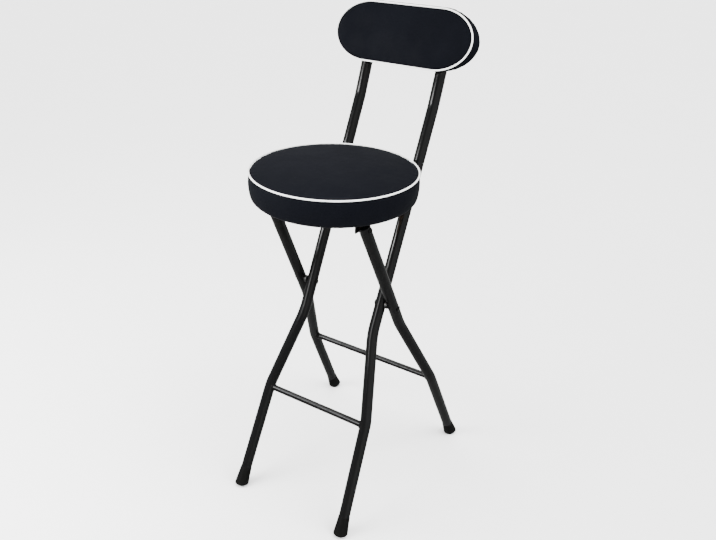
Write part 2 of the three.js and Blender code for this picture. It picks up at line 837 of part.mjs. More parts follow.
// The hook that rests the back of the seat on the catch bar and turns down behind it.
function catchHook() {
  const barY = frontLine(catchBarHeight);
  const front = barY - hookReachForward;
  const lipFront = barY + catchBarRadius + hookBarClearance;
  const lipBack = lipFront + hookThickness;
  const underside = fittingTop - hookThickness;
  const bend = hookThickness;
  const section = new THREE.Shape();
  section.moveTo(front, fittingTop);
  section.lineTo(front, underside);
  section.lineTo(lipFront, underside);
  section.lineTo(lipFront, fittingTop - hookLipDrop);
  section.lineTo(lipBack, fittingTop - hookLipDrop);
  section.lineTo(lipBack, fittingTop - bend);
  section.quadraticCurveTo(lipBack, fittingTop, lipBack - bend, fittingTop);
  const hook = new THREE.ExtrudeGeometry(section, {
    depth: hookWidth,
    bevelEnabled: false,
    curveSegments: 3,
  });
  hook.rotateY(Math.PI / 2);
  hook.rotateX(Math.PI / 2);
  hook.translate(hookHalfSpacing - hookWidth / 2, 0, 0);
  const screwHoles = hookScrewPlaces().map(([x, y]) => {
    const hole = rod(screwRadius + gap, 2 * overrun, screwSides);
    hole.translate(x, y - seatSetback, fittingTop);
    return hole;
  });
  return cut(hook, ...screwHoles);
}

// Adds the screws at a fitting's places in a pad's board, and their mirror images. Their heads lie
// under the given height, measured from the pad's piping line.
function addScrews(group, name, places, pad, head, radius, overhang, tipCover) {
  const length = boardPlace(pad).high - tipCover - head;
  places.forEach(([x, y], i) => {
    const piece = screw(radius, radius + overhang, screwHeadHeight, length);
    piece.translate(x, y, head);
    addPair(group, `${name}_${i + 1}`, piece, zincSteel);
  });
}

// The places of both sides' screws.
function bothSides(places) {
  return [...places, ...places.map(([x, y]) => [-x, y])];
}

// Seat: board, foam, cover and piping, with its hinge brackets, pins, hooks and screws.
function seat() {
  const group = new THREE.Group();
  const pad = new THREE.Group();
  pad.position.set(0, -seatSetback, seatHeight);
  const places = bothSides([...bracketScrewPlaces(), ...hookScrewPlaces()]);
  const drills = padDrills(seatPad, places, screwRadius, screwTipCover);
  add(pad, 'seat_board', padBoard(seatPad, drills), plywood);
  add(pad, 'seat_foam', padFoam(seatPad), greyFoam);
  add(pad, 'seat_cover', padCover(seatPad, drills), blackVinyl);
  add(pad, 'seat_piping', padPiping(seatPad), whiteVinyl);
  const bracketHead = fittingTop - bracketThickness - gap - seatHeight;
  const hookHead = fittingTop - hookThickness - gap - seatHeight;
  addScrews(pad, 'bracket_screw', bracketScrewPlaces(), seatPad, bracketHead, screwRadius,
    screwHeadOverhang, screwTipCover);
  addScrews(pad, 'hook_screw', hookScrewPlaces(), seatPad, hookHead, screwRadius,
    screwHeadOverhang, screwTipCover);
  group.add(pad);
  addPair(group, 'hinge_bracket', hingeBracket(), blackPaint);
  addPair(group, 'hinge_pin', hingePin(), blackPaint);
  addPair(group, 'catch_hook', catchHook(), blackPaint);
  return group;
}

// Backrest: board, foam, cover and piping on the fronts of the posts, with its screws.
function backrest() {
  const pad = new THREE.Group();
  placeOnPosts(pad, backStandoff);
  const places = bothSides(backScrewPlaces);
  const drills = padDrills(backPad, places, backScrewRadius, backScrewTipCover);
  add(pad, 'back_board', padBoard(backPad, drills), blackPlywood);
  add(pad, 'back_foam', padFoam(backPad), greyFoam);
  add(pad, 'back_cover', padCover(backPad, drills), blackVinyl);
  add(pad, 'back_piping', padPiping(backPad), whiteVinyl);
  const head = -backStandoff - tubeRadius - gap;
  addScrews(pad, 'back_screw', backScrewPlaces, backPad, head, backScrewRadius,
    backScrewHeadOverhang, backScrewTipCover);
  return pad;
}

// The whole stool, with the middle of its box on the floor at the origin.
const stool = new THREE.Group();
stool.add(frontFrame(), rearFrame(), seat(), backrest());
stool.updateMatrixWorld(true);
const middle = new THREE.Box3().setFromObject(stool, true).getCenter(new THREE.Vector3());
stool.position.set(0, -middle.y, 0);

export default stool;
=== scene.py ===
"""Looks of a folding bar stool: tubes, pads, fittings and finishes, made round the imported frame.

Sizes in the classes are millimetres, and meshes are written in metres. +Z is up, the stool faces -Y,
and the sitter's left is +X. A surface is worked out as whole arrays of points, and a closed surface
always faces outwards.
"""

from __future__ import annotations

import json
import logging
import math
from abc import ABC, abstractmethod
from dataclasses import dataclass
from enum import Enum
from typing import Mapping, Sequence

import bpy
import numpy as np
import numpy.typing as npt
from mathutils import Matrix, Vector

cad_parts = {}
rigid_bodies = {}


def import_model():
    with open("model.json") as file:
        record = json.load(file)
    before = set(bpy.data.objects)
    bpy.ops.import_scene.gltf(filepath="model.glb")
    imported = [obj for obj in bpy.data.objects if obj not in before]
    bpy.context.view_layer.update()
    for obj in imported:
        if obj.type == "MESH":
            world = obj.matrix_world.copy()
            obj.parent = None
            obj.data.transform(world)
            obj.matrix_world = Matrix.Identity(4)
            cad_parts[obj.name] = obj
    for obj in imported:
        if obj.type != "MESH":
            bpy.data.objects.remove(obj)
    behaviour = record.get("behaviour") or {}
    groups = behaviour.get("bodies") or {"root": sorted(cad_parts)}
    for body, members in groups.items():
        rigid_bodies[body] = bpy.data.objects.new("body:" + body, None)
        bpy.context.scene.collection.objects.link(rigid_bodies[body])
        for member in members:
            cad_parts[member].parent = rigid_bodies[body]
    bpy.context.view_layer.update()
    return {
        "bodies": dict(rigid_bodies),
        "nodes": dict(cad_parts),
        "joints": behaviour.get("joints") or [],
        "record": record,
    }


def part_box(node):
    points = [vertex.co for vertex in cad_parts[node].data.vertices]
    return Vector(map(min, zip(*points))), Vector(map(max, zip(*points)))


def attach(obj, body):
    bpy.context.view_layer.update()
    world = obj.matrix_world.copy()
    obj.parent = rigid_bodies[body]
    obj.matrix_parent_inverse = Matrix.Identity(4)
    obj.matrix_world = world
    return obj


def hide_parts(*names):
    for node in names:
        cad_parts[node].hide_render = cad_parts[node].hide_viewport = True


Array = npt.NDArray[np.float64]
Indices = npt.NDArray[np.int64]
Triple = tuple[float, float, float]
Socket = bpy.types.NodeSocket
Piece = bpy.types.Object

MM = 0.001
QUARTER_TURN = math.pi / 2
ALONG_X = (1.0, 0.0, 0.0)
ALONG_Z = (0.0, 0.0, 1.0)
log = logging.getLogger("bar_stool")


class Body(Enum):
    """The rigid bodies of the stool."""

    FRONT = "front_frame"
    REAR = "rear_frame"
    SEAT = "seat"


class Slot(Enum):
    """The material slots of the record."""

    PAINT = "black_paint"
    ZINC = "zinc_steel"
    RUBBER = "foot_rubber"
    PLASTIC = "black_plastic"
    VINYL = "black_vinyl"
    PIPING = "white_piping"
    PLYWOOD = "plywood"
    BLACK_BOARD = "black_board"


class Side(Enum):
    """The two sides of the stool, as the sitter has them."""

    LEFT = 1
    RIGHT = -1

    def of(self, word: str) -> str:
        """The name of this side's piece or node."""
        return f"{word}_{self.name.lower()}"

    @property
    def mirror(self) -> Array:
        """What a left point's coordinates are multiplied by on this side."""
        return np.array([self.value, 1.0, 1.0])


# Surfaces


def unit(vectors: Array) -> Array:
    """Vectors along the last axis, brought to length one."""
    return vectors / np.linalg.norm(vectors, axis=-1, keepdims=True)


def directions(columns: int) -> Array:
    """Directions spread evenly over a full turn, in radians."""
    return np.linspace(0.0, 2 * math.pi, columns, endpoint=False)


def circle(radius: float, columns: int) -> Array:
    """Points of a circle, evenly spaced, as pairs."""
    turns = directions(columns)
    return radius * np.stack([np.cos(turns), np.sin(turns)], -1)


def eased(values: Array) -> Array:
    """Values from 0 to 1 with a soft start and end: three squares less two cubes."""
    held = np.clip(values, 0.0, 1.0)
    return held * held * (3.0 - 2.0 * held)


@dataclass(frozen=True)
class Shell:
    """A closed surface: its corners in millimetres, with the quads and triangles between them."""

    points: Array
    quads: Indices
    triangles: Indices

    def volume(self) -> float:
        """Adds up the triple products of the triangles' corners.

        Returns:
            Six times the volume, negative where the faces point inwards.
        """
        split = np.concatenate([self.quads[:, [0, 1, 2]], self.quads[:, [0, 2, 3]], self.triangles])
        a, b, c = (self.points[split[:, k]] for k in range(3))
        return float(np.einsum("ij,ij->", a, np.cross(b, c)))

    def outward(self) -> Shell:
        """The same surface with its faces pointing out."""
        order = 1 if self.volume() >= 0 else -1
        return Shell(self.points, self.quads[:, ::order], self.triangles[:, ::order])

    def on(self, side: Side) -> Shell:
        """A surface made for the left, on the given side."""
        return Shell(self.points * side.mirror, self.quads, self.triangles).outward()

    def placed(self, matrix: Array) -> Shell:
        """The surface moved by a 4 by 4 matrix that holds no mirroring."""
        return Shell(self.points @ matrix[:3, :3].T + matrix[:3, 3], self.quads, self.triangles)


def shell_of(grid: Array, looped: bool = False) -> Shell:
    """A closed surface through a grid of points whose columns go round.

    Args:
        grid: Points by row, column and coordinate. Each row is a ring.
        looped: Whether the last row joins the first. Otherwise each end is closed with a fan to the
            middle of its ring.

    Returns:
        The surface, facing outwards.
    """
    rows, columns = grid.shape[:2]
    i, j = np.meshgrid(np.arange(rows if looped else rows - 1), np.arange(columns), indexing="ij")
    here, below, beside = i * columns, (i + 1) % rows * columns, (j + 1) % columns
    quads = np.stack([here + j, here + beside, below + beside, below + j], -1)
    points = grid.reshape(-1, 3)
    triangles = np.zeros((0, 3), np.int64)
    if not looped:
        points = np.concatenate([points, grid[0].mean(0)[None], grid[-1].mean(0)[None]])
        near = np.arange(columns)
        far = (near + 1) % columns
        middle, last = rows * columns, (rows - 1) * columns
        first_fan = np.stack([far, near, np.full(columns, middle)], -1)
        last_fan = np.stack([last + near, last + far, np.full(columns, middle + 1)], -1)
        triangles = np.concatenate([first_fan, last_fan])
    return Shell(points, quads.reshape(-1, 4), triangles).outward()


def rounded_line(corners: Array, radii: Sequence[float], steps: int) -> Array:
    """A line of straight runs joined by round bends.

    Each bend touches both of its runs at the distance radius times the tangent of half the turn, and
    its points are the start plus the arm of the circle turned by equal steps.

    Args:
        corners: Where the straight runs would meet, with the two ends.
        radii: The radius of each bend, for the inner corners.
        steps: Steps along each bend.

    Returns:
        The points of the line.
    """
    parts = [corners[:1]]
    for before, corner, after, radius in zip(corners, corners[1:], corners[2:], radii):
        into, out = unit(corner - before), unit(after - corner)
        turn = math.acos(float(np.clip(into @ out, -1.0, 1.0)))
        start = corner - into * radius * math.tan(turn / 2)
        towards = unit(out - into * (into @ out))
        angles = np.linspace(0.0, turn, steps + 1)[:, None]
        parts.append(start + radius * (np.sin(angles) * into + (1 - np.cos(angles)) * towards))
    return np.concatenate([*parts, corners[-1:]])


def refined(path: Array, step: float) -> Array:
    """Puts points between those of a line.

    Args:
        path: The line's points.
        step: The greatest distance between two points afterwards.

    Returns:
        The finer line.
    """
    counts = np.ceil(np.linalg.norm(np.diff(path, axis=0), axis=1) / step).astype(int)
    parts = [np.linspace(a, b, max(1, n), endpoint=False) for a, b, n in zip(path, path[1:], counts)]
    return np.concatenate([*parts, path[-1:]])


def swept(path: Array, section: Array, hint: Sequence[float], looped: bool = False) -> Array:
    """A flat section carried along a path.

    A point of the surface is the path's point plus the section's first coordinate along the hint,
    made square to the path, plus the second along the cross product of the path and that.

    Args:
        path: The path's points.
        section: The section's points, as pairs, or one such set for each point of the path.
        hint: A direction that the path never runs along.
        looped: Whether the path closes on itself.

    Returns:
        A grid with a row for each point of the path.
    """
    ahead = np.roll(path, -1, 0) - np.roll(path, 1, 0) if looped else np.gradient(path, axis=0)
    tangent = unit(ahead)
    across = unit(np.array(hint) - tangent * (tangent @ np.array(hint))[:, None])
    rise = np.cross(tangent, across)
    return path[:, None] + section[..., :1] * across[:, None] + section[..., 1:] * rise[:, None]


def lathed(profile: Array, columns: int) -> Array:
    """A profile of radii and heights turned round the Z axis, as a grid with a row for each point."""
    ring = np.concatenate([circle(1.0, columns), np.ones((columns, 1))], -1)
    return ring[None] * profile[:, None, [0, 0, 1]]


def frame_matrix(origin: Sequence[float], axis: Sequence[float]) -> Array:
    """The matrix that takes Z to an axis and the origin to a place.

    Args:
        origin: Where the origin goes.
        axis: The direction that Z takes.

    Returns:
        A 4 by 4 matrix of a turn and a move.
    """
    out = unit(np.array(axis, float))
    hint = (0.0, 0.0, 1.0) if abs(out[2]) < 0.9 else (0.0, 1.0, 0.0)
    side = unit(np.cross(hint, out))
    matrix = np.eye(4)
    matrix[:3, :3] = np.stack([side, np.cross(out, side), out], 1)
    matrix[:3, 3] = origin
    return matrix


def linked(name: str, data: bpy.types.ID) -> Piece:
    """Puts a mesh, lamp or camera into the scene.

    Args:
        name: The object's name.
        data: What the object shows.

    Returns:
        The new object, at the origin.
    """
    piece = bpy.data.objects.new(name, data)
    bpy.context.scene.collection.objects.link(piece)
    return piece


def make_object(name: str, shell: Shell, crease: float = 38.0) -> Piece:
    """Puts a surface into the scene as a mesh object.

    Args:
        name: The piece's name.
        shell: The surface, in millimetres.
        crease: The angle in degrees past which an edge stays sharp.

    Returns:
        The object.
    """
    mesh = bpy.data.meshes.new(name)
    sizes = np.concatenate([np.full(len(shell.quads), 4), np.full(len(shell.triangles), 3)])
    corners = np.concatenate([shell.quads.ravel(), shell.triangles.ravel()])
    mesh.vertices.add(len(shell.points))
    mesh.vertices.foreach_set("co", (shell.points * MM).astype(np.float32).ravel())
    mesh.loops.add(len(corners))
    mesh.loops.foreach_set("vertex_index", corners.astype(np.int32))
    mesh.polygons.add(len(sizes))
    mesh.polygons.foreach_set("loop_start", (np.cumsum(sizes) - sizes).astype(np.int32))
    mesh.update(calc_edges=True)
    mesh.validate()
    mesh.shade_smooth()
    mesh.set_sharp_from_angle(angle=math.radians(crease))
    return linked(name, mesh)


def read_points(mesh: bpy.types.Mesh) -> Array:
    """Reads the corners of a mesh.

    Args:
        mesh: The mesh, in metres.

    Returns:
        Its corners, in millimetres.
    """
    flat = np.zeros(len(mesh.vertices) * 3, np.float32)
    mesh.vertices.foreach_get("co", flat)
    return flat.reshape(-1, 3).astype(float) / MM


def write_points(mesh: bpy.types.Mesh, points: Array) -> None:
    """Gives a mesh new corners, in millimetres."""
    mesh.vertices.foreach_set("co", (points * MM).astype(np.float32).ravel())
    mesh.update()


def box_of(node: str) -> Array:
    """The two corners of a CAD node's box, in millimetres."""
    return np.array([list(corner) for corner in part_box(node)]) / MM


def middle_of(node: str) -> Array:
    """The middle of a CAD node's box, in millimetres."""
    return box_of(node).mean(0)


# Finishes


class Bench:
    """Lays out the nodes of one material on Object coordinates."""

    def __init__(self, name: str, **values: object) -> None:
        """Starts a material.

        Args:
            name: The material's name.
            values: Even values of the shader, by the sockets' names with lines for spaces.
        """
        self.material = bpy.data.materials.new(name)
        self.material.use_nodes = True
        self.tree = self.material.node_tree
        self.shader = self.tree.nodes["Principled BSDF"]
        self.place = self.add("ShaderNodeTexCoord", {}).outputs["Object"]
        for socket, value in values.items():
            self.put(socket.replace("_", " "), value)

    def feed(self, target: Socket, value: object) -> None:
        """Links an output to an input, or sets the input's even value.

        Args:
            target: The input.
            value: An output, a number or a colour of three numbers.
        """
        if isinstance(value, Socket):
            self.tree.links.new(value, target)
        elif target.type == "RGBA":
            target.default_value = (*value, 1.0)
        else:
            target.default_value = value

    def add(self, kind: str, inputs: Mapping[str | int, object], **settings: str) -> bpy.types.Node:
        """Adds a node.

        Args:
            kind: The node's type.
            inputs: What feeds each input.
            settings: The node's properties.

        Returns:
            The node.
        """
        node = self.tree.nodes.new(kind)
        for key, value in settings.items():
            setattr(node, key, value)
        for key, value in inputs.items():
            self.feed(node.inputs[key], value)
        return node

    def put(self, socket: str, value: object) -> None:
        """Feeds an input of the shader."""
        self.feed(self.shader.inputs[socket], value)

    def stretched(self, scale: Triple) -> Socket:
        """Object coordinates scaled differently along each axis."""
        return self.add("ShaderNodeMapping", {"Scale": scale, "Vector": self.place}).outputs["Vector"]

    def noise(self, scale: float, detail: float = 3.0, place: Socket | None = None,
              roughness: float = 0.55) -> Socket:
        """Cloudy noise from 0 to 1, with a given number of waves to the metre."""
        inputs = {"Scale": scale, "Detail": detail, "Roughness": roughness, "Vector": place or self.place}
        return self.add("ShaderNodeTexNoise", inputs).outputs["Fac"]

    def cells(self, scale: float, feature: str = "F1") -> Socket:
        """Distance to the cells of a Voronoi pattern."""
        inputs = {"Scale": scale, "Randomness": 1.0, "Vector": self.place}
        return self.add("ShaderNodeTexVoronoi", inputs, feature=feature).outputs["Distance"]

    def ranged(self, value: Socket, low: float, high: float, to_low: float = 0.0,
               to_high: float = 1.0) -> Socket:
        """A value carried smoothly from one range to another."""
        inputs = {"Value": value, "From Min": low, "From Max": high, "To Min": to_low, "To Max": to_high}
        return self.add("ShaderNodeMapRange", inputs, interpolation_type="SMOOTHSTEP").outputs["Result"]

    def maths(self, operation: str, first: Socket, second: Socket | float) -> Socket:
        """One sum of two values."""
        return self.add("ShaderNodeMath", {0: first, 1: second}, operation=operation).outputs["Value"]

    def mixed(self, share: Socket, first: Socket | Triple, second: Socket | Triple) -> Socket:
        """A colour between two colours."""
        return self.add("ShaderNodeMix", {"Factor": share, 6: first, 7: second}, data_type="RGBA").outputs[2]

    def height(self) -> Socket:
        """The height above the floor, in metres."""
        return self.add("ShaderNodeSeparateXYZ", {0: self.place}).outputs["Z"]

    def bumped(self, height: Socket, depth: float, **under: Socket) -> Socket:
        """The normal over a height from 0 to 1 of a depth in millimetres, on another normal if given."""
        inputs = {"Strength": 1.0, "Distance": depth * MM, "Height": height, **under}
        return self.add("ShaderNodeBump", inputs).outputs["Normal"]


@dataclass(frozen=True)
class Finish:
    """A finish: its name, slot, colour and gloss. Each kind lays its own nodes."""

    name: str
    slot: Slot
    colour: Triple
    roughness: float
    specular: float

    def lay(self, bench: Bench) -> None:
        """Lays the nodes of the finish. A plain finish has none."""

    def gloss(self, bench: Bench, cloud: Socket, low: float, high: float) -> None:
        """Lets the roughness follow a cloudy value between two shares of its own."""
        bench.put("Roughness", bench.ranged(cloud, 0.3, 0.7, self.roughness * low, self.roughness * high))

    def material(self) -> bpy.types.Material:
        """Makes the finish's material at its first use.

        Returns:
            The material.
        """
        made = bpy.data.materials.get(self.name)
        if made is None:
            bench = Bench(self.name, Base_Color=self.colour, Roughness=self.roughness,
                          Specular_IOR_Level=self.specular)
            self.lay(bench)
            made = bench.material
        return made

    def dress(self, piece: Piece) -> None:
        """Gives a piece the finish in place of what it had."""
        piece.data.materials.clear()
        piece.data.materials.append(self.material())


@dataclass(frozen=True)
class PaintFinish(Finish):
    """Baked black paint with a faint orange peel, dust and small scuffs down to a greyer coat."""

    worn: Triple = (0.009, 0.009, 0.0085)
    scuffs: float = 0.25
    peel_depth: float = 0.007

    def lay(self, bench: Bench) -> None:
        """Lays rubbed streaks, dust, a cloudy gloss that scuffs dull, and the orange peel.

        Args:
            bench: The material's bench.
        """
        rubbed = bench.ranged(bench.noise(28.0, 5.0), 0.56, 0.78)
        streaks = bench.ranged(bench.noise(190.0, 3.0, bench.stretched((1.0, 1.0, 0.16))), 0.5, 0.72)
        share = bench.maths("MULTIPLY", bench.maths("MULTIPLY", rubbed, streaks), self.scuffs)
        dust = bench.ranged(bench.noise(7.0), 0.35, 0.75, 0.0, 0.06)
        bench.put("Base Color", bench.mixed(bench.maths("ADD", share, dust), self.colour, self.worn))
        gloss = bench.ranged(bench.noise(17.0, 4.0), 0.3, 0.7, self.roughness * 0.86, self.roughness * 1.18)
        bench.put("Roughness", bench.maths("ADD", gloss, bench.maths("MULTIPLY", share, 0.35)))
        bench.put("Normal", bench.bumped(bench.noise(520.0, 2.0), self.peel_depth))


@dataclass(frozen=True)
class VinylFinish(Finish):
    """Soft upholstery vinyl: a fine pebbled grain with painted shade between the pebbles, and a cloudy sheen
    from wear.
    """

    # A darker colour: painted shade in the hollows between the pebbles, and a random darker tone.
    shade_and_tone: Triple = (0.0016, 0.0019, 0.0031)
    grain: float = 820.0
    grain_depth: float = 0.05
    swell_depth: float = 0.12

    def lay(self, bench: Bench) -> None:
        """Lays the pebbles with painted shade in the hollows between them, the finer creases, and broad
        changes of tone and gloss.

        Args:
            bench: The material's bench.
        """
        pebbles = bench.ranged(bench.cells(self.grain, "SMOOTH_F1"), 0.05, 0.75, 1.0, 0.0)
        creases = bench.noise(self.grain * 2.1, 2.0)
        tone = bench.ranged(bench.noise(6.5), 0.3, 0.72)
        share = bench.maths("ADD", bench.maths("MULTIPLY", tone, 0.5), bench.maths("MULTIPLY", pebbles, 0.5))
        # The colour falls to painted shade in the hollows between the pebbles, and darkens by a random tone.
        bench.put("Base Color", bench.mixed(share, self.shade_and_tone, self.colour))
        self.gloss(bench, bench.noise(24.0, 4.0), 0.9, 1.12)
        swell = bench.bumped(bench.noise(38.0, 2.0), self.swell_depth)
        pebbled = bench.bumped(pebbles, self.grain_depth, Normal=swell)
        bench.put("Normal", bench.bumped(creases, self.grain_depth * 0.3, Normal=pebbled))
        bench.put("Sheen Weight", 0.01)
        bench.put("Sheen Roughness", 0.4)


@dataclass(frozen=True)
class PipingFinish(Finish):
    """Smooth white vinyl over a cord, a little greyer in places."""

    soiled: Triple = (0.62, 0.61, 0.58)

    def lay(self, bench: Bench) -> None:
        """Lays a faint soiling and the wrinkles of the vinyl over the cord.

        Args:
            bench: The material's bench.
        """
        soiling = bench.ranged(bench.noise(60.0, 4.0), 0.5, 0.85, 0.0, 0.5)
        bench.put("Base Color", bench.mixed(soiling, self.colour, self.soiled))
        bench.put("Normal", bench.bumped(bench.noise(330.0), 0.06))
        bench.put("Coat Weight", 0.15)
        bench.put("Coat Roughness", 0.25)


@dataclass(frozen=True)
class RubberFinish(Finish):
    """Moulded rubber, dusty near the floor."""

    dust: Triple = (0.012, 0.0118, 0.011)
    dusty_height: float = 0.016

    def lay(self, bench: Bench) -> None:
        """Lays a fine tooth, and dust that thins out above the floor.

        Args:
            bench: The material's bench.
        """
        low = bench.ranged(bench.height(), 0.0, self.dusty_height, 0.75, 0.05)
        speckle = bench.ranged(bench.noise(420.0, 4.0), 0.4, 0.72)
        bench.put("Base Color", bench.mixed(bench.maths("MULTIPLY", low, speckle), self.colour, self.dust))
        self.gloss(bench, bench.noise(90.0), 0.9, 1.0)
        bench.put("Normal", bench.bumped(bench.noise(1400.0), 0.03))


@dataclass(frozen=True)
class MouldedFinish(Finish):
    """Moulded plastic with a finely eroded surface."""

    dark_share: float = 0.72

    def lay(self, bench: Bench) -> None:
        """Lays a cloudy tone, a slight change of gloss and a fine tooth.

        Args:
            bench: The material's bench.
        """
        tone = bench.ranged(bench.noise(55.0, 4.0), 0.35, 0.75, 0.0, 0.35)
        darker = tuple(channel * self.dark_share for channel in self.colour)
        bench.put("Base Color", bench.mixed(tone, self.colour, darker))
        self.gloss(bench, bench.noise(130.0), 0.9, 1.1)
        bench.put("Normal", bench.bumped(bench.noise(1500.0, 2.0), 0.02))


@dataclass(frozen=True)
class ZincFinish(Finish):
    """Bright zinc plate on steel, with a spangle of tone and turning marks."""

    dull: Triple = (0.24, 0.25, 0.26)

    def lay(self, bench: Bench) -> None:
        """Lays the spangle, a cloudy gloss and fine marks.

        Args:
            bench: The material's bench.
        """
        spangle = bench.ranged(bench.cells(700.0), 0.1, 0.6)
        bench.put("Base Color", bench.mixed(spangle, self.colour, self.dull))
        bench.put("Metallic", 1.0)
        self.gloss(bench, bench.noise(600.0, 4.0), 0.75, 1.4)
        bench.put("Normal", bench.bumped(bench.noise(2400.0, 2.0), 0.01))


@dataclass(frozen=True)
class PlywoodFinish(Finish):
    """A plywood face: long grain with darker bands and pores."""

    band: Triple = (0.30, 0.175, 0.082)
    pore_share: float = 0.45
    stretch: Triple = (2.2, 34.0, 34.0)

    def lay(self, bench: Bench) -> None:
        """Lays bands of grain that run along X, fine fibres and pores.

        Args:
            bench: The material's bench.
        """
        along = bench.stretched(self.stretch)
        bands = bench.ranged(bench.noise(1.0, 5.0, along, 0.62), 0.34, 0.68)
        fibres = bench.noise(9.0, 4.0, along, 0.7)
        tone = bench.mixed(bands, self.colour, self.band)
        pores = bench.ranged(fibres, 0.56, 0.74, 0.0, 0.6)
        dark = tuple(channel * self.pore_share for channel in self.band)
        bench.put("Base Color", bench.mixed(pores, tone, dark))
        self.gloss(bench, fibres, 0.85, 1.1)
        bench.put("Normal", bench.bumped(fibres, 0.12))


PAINT = PaintFinish("frame_paint", Slot.PAINT, (0.0026, 0.0026, 0.0027), 0.13, 0.15)
FITTING_PAINT = PaintFinish("fitting_paint", Slot.PAINT, (0.0028, 0.0028, 0.0028), 0.4, 0.06, scuffs=0.3)
VINYL = VinylFinish("pad_vinyl", Slot.VINYL, (0.0030, 0.0034, 0.0052), 0.66, 0.02)
PIPING = PipingFinish("piping_vinyl", Slot.PIPING, (0.86, 0.86, 0.85), 0.34, 0.45)
RUBBER = RubberFinish("foot_rubber_black", Slot.RUBBER, (0.0017, 0.0017, 0.0016), 0.62, 0.06)
PLASTIC = MouldedFinish("moulded_plastic", Slot.PLASTIC, (0.008, 0.008, 0.008), 0.42, 0.35)
ZINC = ZincFinish("fastener_zinc", Slot.ZINC, (0.46, 0.47, 0.48), 0.30, 0.5)
BLACK_BOARD = PaintFinish("board_black", Slot.BLACK_BOARD, (0.006, 0.006, 0.006), 0.7, 0.15, scuffs=0.5,
                          peel_depth=0.05)
PLYWOOD = PlywoodFinish("board_plywood", Slot.PLYWOOD, (0.46, 0.30, 0.155), 0.68, 0.3)


def install(piece: Piece, body: Body, finish: Finish, *nodes: str) -> None:
    """Dresses a piece, puts it on its body and hides the CAD nodes that it stands for.

    Args:
        piece: The piece's object, in place.
        body: The body that it rides on.
        finish: Its finish, which names the record's slot.
        nodes: The CAD nodes that it replaces.
    """
    finish.dress(piece)
    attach(piece, body.value)
    if nodes:
        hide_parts(*nodes)
    log.info("%s: %d faces on %s", piece.name, len(piece.data.polygons), body.value)


def add_piece(name: str, shell: Shell, body: Body, finish: Finish, *nodes: str) -> None:
    """Makes a surface a piece of the stool, in place of CAD nodes."""
    install(make_object(name, shell), body, finish, *nodes)


# Frames of tube


@dataclass(frozen=True)
class Tube:
    """A round tube along a bent line, closed at its ends."""

    corners: Array
    bends: Sequence[float]
    radius: float = 11.1
    bend_steps: int = 26
    columns: int = 40

    def line(self) -> Array:
        """The middle line, with its bends."""
        return rounded_line(self.corners, self.bends, self.bend_steps)

    def half_at(self, height: float) -> float:
        """How far from the middle of the stool the line lies at a height."""
        line = self.line()
        return float(np.interp(height, line[:, 2], line[:, 0]))

    def shell(self) -> Shell:
        """The tube's surface: a circle carried along the line."""
        return shell_of(swept(self.line(), circle(self.radius, self.columns), ALONG_X))


@dataclass(frozen=True)
class RubberFoot:
    """A flared cup over a leg's end. Its sole lies between level and square to the leg."""

    place: Array
    run: Array
    height: float = 42.0
    sole_radius: float = 14.5
    waist_radius: float = 13.1
    lip_radius: float = 11.7
    tube_radius: float = 11.1
    sole_rounding: float = 2.4
    squareness: float = 0.5
    marks: Triple = (0.12, 0.5, 0.96)
    lip_share: float = 0.965
    columns: int = 64

    def radius_at(self, distance: Array) -> Array:
        """The radius at a distance up the leg: straight lines between the marks' shares of the height."""
        radii = [self.sole_radius, self.waist_radius, self.lip_radius]
        return np.interp(distance, self.height * np.array(self.marks), radii)

    def shell(self) -> Shell:
        """The foot's surface.

        The sole's plane has a normal between the vertical and the leg's run, and is raised until its
        lowest point is on the floor. For each direction round the leg, the wall starts where the
        cylinder meets that plane and runs up the leg to the lip. A quarter circle rounds its lowest
        stretch into the sole, and another its lip into the tube.

        Returns:
            The closed surface.
        """
        spokes = circle(1.0, self.columns) @ frame_matrix((0, 0, 0), self.run)[:3, :2].T
        normal = unit(np.array(ALONG_Z) * (1 - self.squareness) + self.run * self.squareness)
        slope = float(self.run @ normal)
        drop = -(spokes @ normal) * self.sole_radius / slope
        sole = self.run * drop[:, None] + spokes * self.sole_radius
        rise = -sole[:, 2].min() / self.run[2]
        share = np.linspace(0.0, 1.0, 24)[:, None]
        lip = self.height * self.lip_share
        distance = (drop[None] + rise + self.sole_rounding / slope) * (1 - share) + lip * share
        wall = self.run * distance[..., None] + spokes[None] * self.radius_at(distance)[..., None]
        arc = np.linspace(0.0, QUARTER_TURN, 6)[:-1, None, None]
        edge = 1 - self.sole_rounding / self.sole_radius * (1 - np.sin(arc))
        lift = rise + self.sole_rounding / slope * (1 - np.cos(arc))
        turn = np.linspace(0.0, QUARTER_TURN, 5)[1:, None, None]
        soft = self.lip_radius - self.tube_radius
        rim = self.run * (lip + soft * np.sin(turn)) + spokes * (self.tube_radius + soft * np.cos(turn))
        return shell_of(np.concatenate([sole * edge + self.run * lift, wall, rim]) + self.place)


